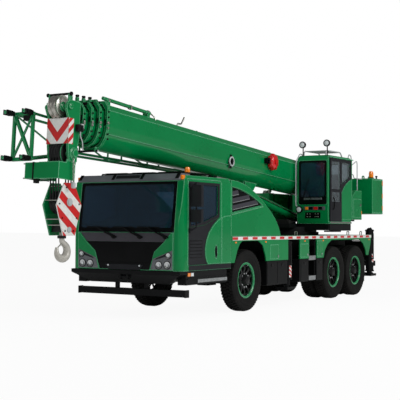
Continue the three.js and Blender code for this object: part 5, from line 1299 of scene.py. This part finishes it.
finished("counterweight", enamel, edge=0.012)
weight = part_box("counterweight")
upper("counterweight_eyes",
    both_sides([bent([(back(x), 0.85, weight[1].z - 0.004), (back(x), 0.85, weight[1].z + 0.07),
        (back(x + 0.12), 0.85, weight[1].z + 0.07), (back(x + 0.12), 0.85, weight[1].z - 0.004)],
        0.016, 0.045) for x in (9.62, 10.05)]), enamel, edge=0)
upper("counterweight_seams",
    both_sides([block((weight[0].x + 0.12, weight[1].x - 0.012),
        (weight[1].y - 0.003, weight[1].y + 0.003), z)
        for z in ((weight[0].z + 0.02, weight[0].z + 0.05),
        (weight[1].z - 0.05, weight[1].z - 0.02))]), enamel, edge=0.002)
edge_x = weight[0].x + 0.09
upper("rear_edge_reflectors",
    both_sides([prism([(edge_x - 0.004, weight[1].y + 0.004), (edge_x + 0.05, weight[1].y + 0.004),
        (edge_x + 0.05, weight[1].y - 0.003), (edge_x, weight[1].y - 0.005)], "z", z, z + 0.13)
        for z in (2.17, 2.50, 2.84)]), amber_lens, edge=0.002)
upper("counterweight_lamps",
    both_sides([block((weight[0].x - 0.012, weight[0].x + 0.002), (0.80, 1.0), (2.2, 2.28))]),
    red_lens, edge=0.005)
lens, foot = beacon((back(9.62), 1.1, weight[1].z - 0.002), 0.06, 0.2)
upper("rear_beacon", [lens], amber_lens, edge=0)
upper("rear_beacon_foot", [foot], black_coat, edge=0)
upper("rear_antenna",
    [tube([(back(10.0), 1.1, weight[1].z - 0.01), (back(10.0), 1.1, weight[1].z + 0.06)], 0.02),
        turned([(0, 0.05), (0.035, 0.055), (0.03, 0.085), (0, 0.09)],
        (back(10.0), 1.1, weight[1].z), "z", 20)], black_coat, edge=0)

# ---------------------------------------------------------------- winches
# Two planetary winches are bolted to a common welded bed behind the boom's foot, each
# drum wound full of galvanised wire rope.

# Wire rope: dull zinc strands with grease in the lays; a 6 mm lay, drawn at 16 mm.
wire = surface("greased wire rope", "#1d1e1e", "#343534", 16, 12, (0.4, 0.6), 0.8, Metallic=0.4)
finished("winches", black_coat)
bed = 2.25
for name, setback, radius in (("main", 0.23, 0.2), ("second", 0.56, 0.13)):
    profile = [(radius * 0.69, -0.288)]
    turns = 22
    for n in range(turns):
        low = -0.286 + 0.572 * n / turns
        for k in range(4):
            profile.append((radius * 0.84 + 0.013 * math.sin(math.pi * (k + 0.5) / 4),
                    low + 0.026 * (k + 0.5) / 4))
    profile.append((radius * 0.69, 0.288))
    upper(name + "_drum_rope", [turned(profile, (back(9.46 + setback), 0, bed + radius + 0.03), "y",
            40)], wire, edge=0, sharp=80)

# ---------------------------------------------------------------- boom
# Welded box sections of high-strength steel in green enamel, nested one inside the next.
# Each mouth has a collar with screws and clamps; those that slide carry a buffer too.

section_bodies = ["boom", "section_2", "section_3", "section_4", "head"]
for node in ("boom_base", "boom_section_2", "boom_section_3", "boom_section_4"):
    finished(node, enamel, edge=0.008)


def inclined(x, z, slope):
    """A function that lays shapes made as (along, across, above) on a rising line from a place."""
    run, rise = math.cos(slope), math.sin(slope)
    return lambda shapes: moved(shapes, lambda u, y, v: (x + u * run - v * rise, y,
            z + u * rise + v * run))


on_boom = inclined(back(9.0), 2.65, math.radians(3.94))


def boom_piece(name, shapes, material, body="boom", **finish):
    """A piece laid on the boom at rest, riding on one of its sections."""
    return piece(name, on_boom(shapes), material, body, **finish)


base_mouth, pitch, step, collar_rise = 10.08, 0.175, 0.04, 0.042
for number, body in enumerate(section_bodies):
    u = base_mouth + pitch * number
    inset = step * number
    face = 0.32 - inset + collar_rise
    top = 0.555 - inset + collar_rise + 0.04
    # The four sections that slide carry a buffer on an upstand, all to about one height.
    if number > 0:
        rise = 0.03 + 0.028 * number
        boom_piece(f"collar_{number + 1}_upstand",
            [block((u - 0.058, u - 0.004), (0.035, 0.089), (top - 0.03, top + rise - 0.048))],
            enamel, body, edge=0.006)
        boom_piece(f"collar_{number + 1}_buffers",
            [turned([(0, -0.052), (0.028, -0.052), (0.028, -0.046), (0.022, -0.042),
                (0.033, -0.034), (0.036, -0.018), (0.028, -0.004), (0, 0)],
                (u - 0.031, 0.062, top + rise), "z", 20)], rubber, body, edge=0)
    boom_piece(f"collar_{number + 1}_screws",
        both_sides(bolts([(u - 0.028, face + 0.006, v) for v in (0.40 - inset, 0.30 - inset, 0.0,
            -0.09)], "y", 0.018, 0.024)), black_coat, body, edge=0.002)
    boom_piece(f"collar_{number + 1}_clamps",
        both_sides([disc((u - 0.028, face + 0.006, 0.20 - inset * 0.5), "y", 0.028, 0.03, 20),
            block((u - 0.05, u - 0.004), (face - 0.004, face + 0.02), (0.09, 0.13))]), zinc, body,
        edge=0.004)
    boom_piece(f"collar_{number + 1}_pads",
        [block((u - 0.002, u + 0.012), (y - 0.045, y + 0.045), (top - 0.09, top - 0.04))
            for y in (-0.13, 0.13)] + both_sides(
            [block((u - 0.002, u + 0.012), (face - 0.05, face - 0.02), (0.16, 0.26))]), black_coat,
        body)
# The hoist rope runs along the top in a pair, from the tail roller to the mouth.
boom_piece("boom_top_ropes", [tube([(0.36, y, 0.60), (10.02, y, 0.60)], 0.009, 8)
        for y in (-0.05, 0.05)], wire, edge=0)
boom_piece("boom_top_rollers", [shape for u in (0.42, 3.4, 6.7, 9.9)
        for shape in (disc((u, 0, 0.578), "y", 0.018, 0.22, 16),
        block((u - 0.02, u + 0.02), (-0.125, -0.11), (0.55, 0.60)),
        block((u - 0.02, u + 0.02), (0.11, 0.125), (0.55, 0.60)))], zinc, edge=0.002)
# A service pipe in green enamel stands on two brackets along the top's left edge.
boom_piece("service_pipe", [tube([(8.55, 0.2, 0.64), (10.03, 0.2, 0.66)], 0.034, 16),
        block((8.62, 8.70), (0.14, 0.26), (0.54, 0.64)), block((9.85, 9.93), (0.16, 0.24),
        (0.54, 0.65))], enamel)
boom_piece("service_pipe_clamps",
    [turned([(0.036, -0.02), (0.046, -0.02), (0.046, 0.02), (0.036, 0.02)], (u, 0.2, 0.642), "x",
        20) for u in (8.62, 9.2, 9.88)]
    + [tube([(8.53, 0.2, 0.64), (8.44, 0.22, 0.60), (8.40, 0.26, 0.50), (8.41, 0.315, 0.40)],
        0.014)], zinc, edge=0)
boom_piece("top_bracket",
    [bent([(7.60, 0.22, 0.545), (7.60, 0.22, 0.60), (7.46, 0.22, 0.61), (7.36, 0.22, 0.76)], 0.016,
        0.04)], zinc, edge=0)
# A long weld bead and a pressed flute stiffen each side of the base section.
boom_piece("boom_side_beads",
    both_sides([tube([(0.8, 0.3195, 0.44), (10.0, 0.3195, 0.44)], 0.006, 6),
        tube([(0.8, 0.3195, 0.012), (10.0, 0.3195, 0.012)], 0.006, 6)]), enamel, edge=0)
# The hose ring on the left side guides the head's cable.
ring_u, ring_v = 5.60, 0.09
boom_piece("hose_ring",
    [turned([(0.075, 0.02), (0.105, 0.02), (0.11, 0.045), (0.09, 0.055), (0.075, 0.045)],
        (ring_u, 0.318, ring_v), "y", 36)], rail_coat, edge=0)
boom_piece("hose_ring_core",
    [turned([(0, 0.0), (0.076, 0.0), (0.076, 0.036), (0.03, 0.04), (0.03, 0.06), (0, 0.062)],
        (ring_u, 0.318, ring_v), "y", 28), block((ring_u - 0.03, ring_u + 0.03), (0.318, 0.34),
        (ring_v - 0.15, ring_v + 0.15))], black_coat, edge=0)
# The cable reel: a spring drum with a lobed red cover on a black stand. Its polyamide
# is a strong even red with a soft gloss.
reel_red = surface("red moulded polyamide", "#c8070c", "#d01014", 120, 8, (0.22, 0.34), 0.1,
    Coat_Weight=0.4)
reel_u, reel_v, reel_y = 3.75, 0.315, 0.322
lobes = 9
around, cover = lobes * 8, []
for level, depth in ((1.0, 0.02), (1.05, 0.06), (1.0, 0.12), (0.72, 0.15)):
    for angle in circle(around):
        radius = level * (0.165 + 0.028 * max(0.0, math.cos(lobes * angle)) ** 2)
        cover.append((reel_u + radius * math.cos(angle), reel_y + depth,
                reel_v + radius * math.sin(angle)))
faces = [tuple(range(around)), tuple(range(3 * around, 4 * around))]
faces += [(r * around + k, r * around + (k + 1) % around, (r + 1) * around + (k + 1) % around,
        (r + 1) * around + k) for r in range(3) for k in range(around)]
boom_piece("cable_reel_cover", [(cover, faces), disc((reel_u, reel_y + 0.155, reel_v), "y", 0.06,
        0.03, 24)], reel_red, edge=0, sharp=50)
boom_piece("cable_reel_stand", [disc((reel_u + 0.02, reel_y + 0.008, reel_v), "y", 0.12, 0.03, 32),
        block((reel_u + 0.15, reel_u + 0.3), (0.318, 0.40), (reel_v - 0.06, reel_v + 0.06)),
        disc((reel_u + 0.23, 0.41, reel_v + 0.03), "y", 0.04, 0.05, 20),
        disc((reel_u + 0.23, 0.41, reel_v - 0.04), "y", 0.03, 0.05, 20)], black_coat)

# ---------------------------------------------------------------- boom head
# Two welded side plates with the grooved guide sheave on top and four hoist sheaves
# below, a striped marker plate in front and the box beam that carries the ropes' guard.

finished("boom_head", enamel)
# Cast nylon and steel sheaves: the upper one bright, the lower ones nearly black.
sheave_grey = surface("machined sheave steel", "#c9c7c0", "#aaa89f", 60, 6, (0.25, 0.4), 0.1,
    Metallic=0.9)
# These are nearly black, with an uneven shine.
dark_sheave = surface("nearly black sheave", "#1b1c1d", "#2a2b2b", 50, 6, (0.35, 0.5), 0.15,
    Metallic=0.4)


def grooved(radius, half, grooves, hub):
    """A sheave's profile with round rope grooves across its rim."""
    profile = [(hub, -half), (radius * 0.8, -half), (radius * 0.86, -half * 0.92), (radius, -half)]
    width = 2 * half / grooves
    for n in range(grooves):
        low = -half + n * width
        profile += [(radius - 0.002, low + width * 0.12), (radius - 0.02, low + width * 0.35),
            (radius - 0.024, low + width * 0.5), (radius - 0.02, low + width * 0.65),
            (radius - 0.002, low + width * 0.88)]
    return profile + [(radius, half), (radius * 0.86, half * 0.92), (radius * 0.8, half),
        (hub, half)]


upper_u, upper_v, lower_u, lower_v = 10.97, 0.345, 10.815, -0.444
boom_piece("upper_sheave", [turned(grooved(0.2, 0.086, 2, 0.05), (upper_u, 0, upper_v), "y", 48)],
    sheave_grey, "head", edge=0, sharp=35)
boom_piece("upper_sheave_pin",
    both_sides([turned([(0, 0.08), (0.085, 0.08), (0.085, 0.10), (0.05, 0.12), (0.05, 0.275),
        (0.03, 0.285), (0, 0.285)], (upper_u, 0, upper_v), "y", 24)]), enamel, "head", edge=0)
boom_piece("lower_sheaves", [turned(grooved(0.224, 0.116, 4, 0.06), (lower_u, 0, lower_v), "y",
        48)], dark_sheave, "head", edge=0, sharp=35)
boom_piece("lower_sheave_caps",
    both_sides([turned([(0, 0.234), (0.10, 0.234), (0.10, 0.25), (0.07, 0.262), (0.065, 0.292),
        (0, 0.298)], (lower_u, 0, lower_v), "y", 28)]), enamel, "head", edge=0)
boom_piece("keeper_bar",
    [tube([(upper_u, -0.26, upper_v + 0.215), (upper_u, 0.26, upper_v + 0.215)], 0.021, 14),
        disc((upper_u, -0.255, upper_v + 0.215), "y", 0.034, 0.03, 20),
        disc((upper_u, 0.255, upper_v + 0.215), "y", 0.034, 0.03, 20)], black_coat, "head")
plate_u, plate_half, plate_low, plate_high = 10.975, 0.235, -0.29, 0.15


def between(outline, slant, low, high):
    """The part of a convex outline where its second place less slant times its first
    lies between two values."""
    for sign, limit in ((1, low), (-1, -high)):
        kept = []
        for (a0, b0), (a1, b1) in zip(outline, outline[1:] + outline[:1]):
            d0, d1 = sign * (b0 - slant * a0) - limit, sign * (b1 - slant * a1) - limit
            if d0 >= 0:
                kept.append((a0, b0))
            if (d0 > 0) != (d1 > 0) and abs(d0 - d1) > 1e-9:
                t = d0 / (d0 - d1)
                kept.append((a0 + t * (a1 - a0), b0 + t * (b1 - b0)))
        outline = kept
        if len(outline) < 3:
            return []
    return outline


boom_piece("marker_plate_white",
    [prism([(-plate_half, plate_low), (plate_half, plate_low), (plate_half, plate_high),
        (-plate_half, plate_high)], "x", plate_u - 0.002, plate_u + 0.002)], white_tape, "head",
    edge=0)
chevrons = []
for low in (-0.62, -0.26):
    for side_y in (((0, plate_half), 1.15), ((-plate_half, 0), -1.15)):
        (y0, y1), slant = side_y
        part = between([(y0, plate_low), (y1, plate_low), (y1, plate_high), (y0, plate_high)],
            slant, low, low + 0.17)
        if part:
            chevrons.append(prism(part, "x", plate_u, plate_u + 0.0035))
boom_piece("marker_plate_red", chevrons, red_tape, "head", edge=0)
flank_outline = [(10.84, plate_low), (10.97, plate_low), (10.97, plate_high), (10.84, plate_high)]
boom_piece("head_flank_white", both_sides([prism(flank_outline, "y", 0.2345, 0.2365)]), white_tape,
    "head", edge=0)
boom_piece("head_flank_red",
    both_sides([prism(part, "y", 0.2345, 0.2375)
        for part in [between(flank_outline, -1.0, 10.50 + 0.17 * n, 10.585 + 0.17 * n)
        for n in range(5)] if part]), red_tape, "head", edge=0)
boom_piece("head_switch_box", [block((10.66, 10.80), (0.235, 0.31), (-0.06, 0.06)),
        disc((10.70, 0.31, 0.0), "y", 0.03, 0.03, 20)], black_coat, "head", edge=0.006)
boom_piece("head_cable",
    [bent([(10.73, 0.30, -0.06), (10.73, 0.30, -0.14), (10.65, 0.29, -0.22), (10.62, 0.28, -0.36)],
        0.011, 0.05), block((10.60, 10.68), (0.236, 0.27), (0.0, 0.09))], rail_coat, "head")
boom_piece("head_roller", [disc((10.18, 0, -0.31), "y", 0.02, 0.52, 24)], black_coat, edge=0.004)
boom_piece("head_roller_ends", both_sides([disc((10.18, 0.265, -0.31), "y", 0.016, 0.02, 24)]),
    rail_coat)
boom_piece("head_roller_arms",
    both_sides([block((10.155, 10.205), (0.20, 0.225), (-0.325, -0.24))]), enamel)
cross_tail, cross_nose, cross_low, cross_high = 10.74, 11.15, -0.905, -0.615


def beam_outline(past):
    """The box beam in side view, enlarged so far past its ends and its levels."""
    ends, levels = past
    return [(cross_tail - ends, cross_low - levels), (cross_nose + ends, cross_low - levels),
        (cross_nose + ends, cross_high + levels), (cross_tail - ends, cross_high + levels)]


boom_piece("cross_beam_strap", [ring(beam_outline((0.006, 0.002)), beam_outline((-0.002, -0.008)),
        "y", -0.36, -0.33)], black_coat, "head", edge=0.002)
boom_piece("cross_beam_rods", [tube([(cross_nose - 0.05, -0.53, v), (cross_nose - 0.05, -0.60, v)],
        0.012) for v in (cross_low + 0.02, cross_high - 0.02)], zinc, "head", edge=0)
boom_piece("cross_beam_buffer", [turned([(0, -0.07), (0.05, -0.065), (0.055, 0), (0, 0)],
        (cross_nose - 0.08, -0.33, cross_low), "z", 20)], rubber, "head", edge=0)

# ---------------------------------------------------------------- fly jib
# A tubular lattice jib pinned along the boom's right side. Its root frame is of heavier
# tube, with black forked lugs that pin to the head when it is swung out.

finished("fly_jib", enamel, edge=0.003, steepest=70)
root_u, root_top, root_bottom = 11.15, 0.23, -0.56
jib_inner = -0.407
jib_outer = jib_inner - 0.42
corners = {(s, l): (root_u, y, v) for s, y in (("i", jib_inner), ("o", jib_outer))
    for l, v in (("t", root_top), ("b", root_bottom))}
frame_tubes = [(("i", "t"), ("i", "b")), (("o", "t"), ("o", "b")), (("i", "t"), ("o", "t")),
    (("i", "b"), ("o", "b")), (("o", "t"), ("i", "b"))]
boom_piece("jib_root_frame", [tube([corners[a], corners[b]], 0.036, 14) for a, b in frame_tubes],
    enamel, edge=0)
lug = []
for (s, l), (u, y, v) in corners.items():
    lug += [block((u + 0.10, u + 0.25), (y + t - 0.012, y + t + 0.012), (v - 0.045, v + 0.045))
        for t in (-0.036, 0.036)]
    lug.append(disc((u + 0.19, y, v), "y", 0.028, 0.13, 16))
    lug.append(block((u + 0.05, u + 0.12), (y - 0.045, y + 0.045), (v - 0.04, v + 0.04)))
boom_piece("jib_lugs", lug, black_coat, edge=0.005)
boom_piece("jib_block",
    [block((root_u - 0.12, root_u + 0.02), (-0.62, -0.46), (root_top - 0.12, root_top - 0.03))],
    black_coat, edge=0.008)

# ---------------------------------------------------------------- luffing cylinder
# A welded barrel in green enamel with a screwed gland nut and two pipes along it, and a
# hard-chromed rod pinned to the boom's underside.

finished("luff_cylinder", enamel, edge=0.004)
finished("luff_rod", chrome, edge=0.003)
rod_run, rod_rise = 2.8, 0.57
on_cylinder = inclined(back(7.4), 1.93, math.atan2(rod_rise, rod_run))
barrel_end = math.hypot(rod_run, rod_rise) - 0.2
piece("cylinder_gland",
    on_cylinder([turned([(0.0755, 0.004), (0.1, 0.004), (0.118, -0.02), (0.118, -0.11),
        (0.109, -0.115), (0.109, -0.05), (0.0755, -0.04)], (barrel_end, 0, 0), "x", 40)]),
    black_coat, "luff_barrel", edge=0)
piece("cylinder_pipes",
    on_cylinder([bent([(0.3, 0.109, 0.02), (0.34, 0.13, 0.03), (barrel_end - 0.3, 0.13, 0.03),
        (barrel_end - 0.2, 0.109, 0.02)], 0.012, 0.04), block((0.22, 0.36), (0.08, 0.14),
        (-0.03, 0.07))]), zinc, "luff_barrel", edge=0)

# ---------------------------------------------------------------- hook block
# Two steel plates over dark sheaves, the left one banded red and white, rungs between
# them, and a forged hook in pale paint with a spring latch, hung on eight rope falls.

hook_x, axle_z = 5.76332, 2.95017
block_top = -0.5
block_outline = [(-0.13, block_top), (0.13, block_top), (0.33, block_top - 0.38),
    (0.15, block_top - 0.9), (-0.15, block_top - 0.9), (-0.33, block_top - 0.38)]


def hung(shapes):
    """Places shapes made about the head's lower axle."""
    return moved(shapes, lambda x, y, z: (hook_x + x, y, axle_z + z))


def block_piece(name, shapes, material, **finish):
    """A piece of the hook block, riding on it."""
    return piece(name, hung(shapes), material, "hook_block", **finish)


block_piece("block_plate_right", [prism(block_outline, "y", -0.16, -0.135)], enamel, edge=0.004,
    replaces=("hook_block",))
block_piece("block_plate_left", [prism(block_outline, "y", 0.135, 0.16)], white_tape, edge=0.004,
    replaces=("hook_block",))
stripes = [between(block_outline, 0.76, -1.62 + 0.33 * n, -1.62 + 0.33 * n + 0.165)
    for n in range(6)]
block_piece("block_plate_stripes", [prism(part, "y", 0.158, 0.1625) for part in stripes if part],
    red_tape, edge=0)
block_piece("block_bolts",
    both_sides(bolts([(x, 0.166, block_top - z) for x, z in ((-0.08, 0.08), (0.08, 0.08),
        (0.26, 0.36), (-0.26, 0.36), (0.19, 0.6), (-0.19, 0.6), (0.11, 0.82), (-0.11, 0.82))], "y",
        0.014, 0.014)), black_coat, edge=0)
sheave_z = block_top - 0.33
block_piece("block_axle", [tube([(0, -0.19, sheave_z), (0, 0.19, sheave_z)], 0.045, 24),
        disc((0, 0.168, sheave_z), "y", 0.07, 0.016, 28), disc((0, 0.165, block_top - 0.80), "y",
        0.05, 0.016, 28)], rail_coat, edge=0)
block_piece("block_sheaves", [turned(grooved(0.2, 0.12, 4, 0.045), (0, 0, sheave_z), "y", 48)],
    dark_sheave, edge=0, sharp=35)
block_piece("block_rungs", [tube([(x, -0.14, block_top - z), (x, 0.14, block_top - z)], 0.010)
        for x, z in ((0.14, 0.06), (-0.14, 0.06), (0.27, 0.3), (-0.27, 0.3), (0.25, 0.62),
        (-0.25, 0.62), (0.2, 0.72), (-0.2, 0.72))], zinc, edge=0)
block_piece("block_crosshead",
    [block((-0.11, 0.11), (-0.136, 0.136), (block_top - 0.84, block_top - 0.70)),
        turned([(0, 0), (0.075, 0), (0.075, 0.05), (0, 0.05)], (0, 0, block_top - 0.95), "z", 28)],
    dark_sheave, edge=0.008)


def tapered(route, radii, sides=20):
    """A forged round bar whose radius changes along a smoothed route."""
    for _ in range(3):
        points, sizes = [route[0]], [radii[0]]
        for (a, b), (r, s) in zip(zip(route, route[1:]), zip(radii, radii[1:])):
            a, b = Vector(a), Vector(b)
            points += [a * 0.75 + b * 0.25, a * 0.25 + b * 0.75]
            sizes += [r * 0.75 + s * 0.25, r * 0.25 + s * 0.75]
        route, radii = points + [route[-1]], sizes + [radii[-1]]
    points, faces = tube(route, 1.0, sides)
    placed_points = []
    for i, centre in enumerate(route):
        centre = Vector(centre)
        for point in points[i * sides:(i + 1) * sides]:
            placed_points.append(tuple(centre + (Vector(point) - centre) * radii[i]))
    return placed_points, faces


# Forged steel under pale paint, softly mottled.
hook_paint = surface("pale painted forging", "#c9c6be", "#b3b0a8", 90, 9, (0.3, 0.45), 0.25,
    Metallic=0.25)
foot_z = block_top - 0.9
block_piece("hook",
    [tapered([(0, 0, foot_z + 0.05), (0, 0, foot_z - 0.07), (-0.02, 0, foot_z - 0.12),
        (-0.11, 0, foot_z - 0.17), (-0.15, 0, foot_z - 0.25), (-0.125, 0, foot_z - 0.35),
        (-0.03, 0, foot_z - 0.40), (0.08, 0, foot_z - 0.375), (0.135, 0, foot_z - 0.30),
        (0.125, 0, foot_z - 0.20)], [0.045, 0.045, 0.05, 0.058, 0.066, 0.072, 0.074, 0.06, 0.045,
        0.026])], hook_paint, edge=0)
block_piece("hook_latch",
    [tapered([(-0.035, 0, foot_z - 0.13), (0.04, 0, foot_z - 0.16), (0.12, 0, foot_z - 0.215)],
        [0.016, 0.012, 0.01], 12)], zinc, edge=0)
fall_y = [-0.09, -0.03, 0.03, 0.09]
block_piece("rope_falls", [tube([(x, y, sheave_z), (x, y, -0.02)], 0.0125, 10) for x in (-0.2, 0.2)
        for y in fall_y], wire, edge=0)
# A short chain with its trip weight rides on the first fall, under the hoist limit switch.
links = []
for n in range(9):
    centre = Vector((0.03, 0.27, -0.12 - 0.042 * n))
    turn = n % 2
    loop = []
    for k in range(13):
        angle = 2 * math.pi * k / 12
        wide, tall = 0.014 * math.cos(angle), 0.030 * math.sin(angle)
        loop.append(centre + (Vector((wide, 0, tall)) if turn else Vector((0, wide, tall))))
    links.append(tube(loop, 0.0055, 6))
block_piece("trip_chain", links, zinc, edge=0)
block_piece("trip_weight",
    [turned([(0, 0), (0.03, 0.004), (0.04, 0.03), (0.04, 0.09), (0.02, 0.11), (0, 0.112)],
        (0.03, 0.27, -0.60), "z", 24)], rail_coat, edge=0)
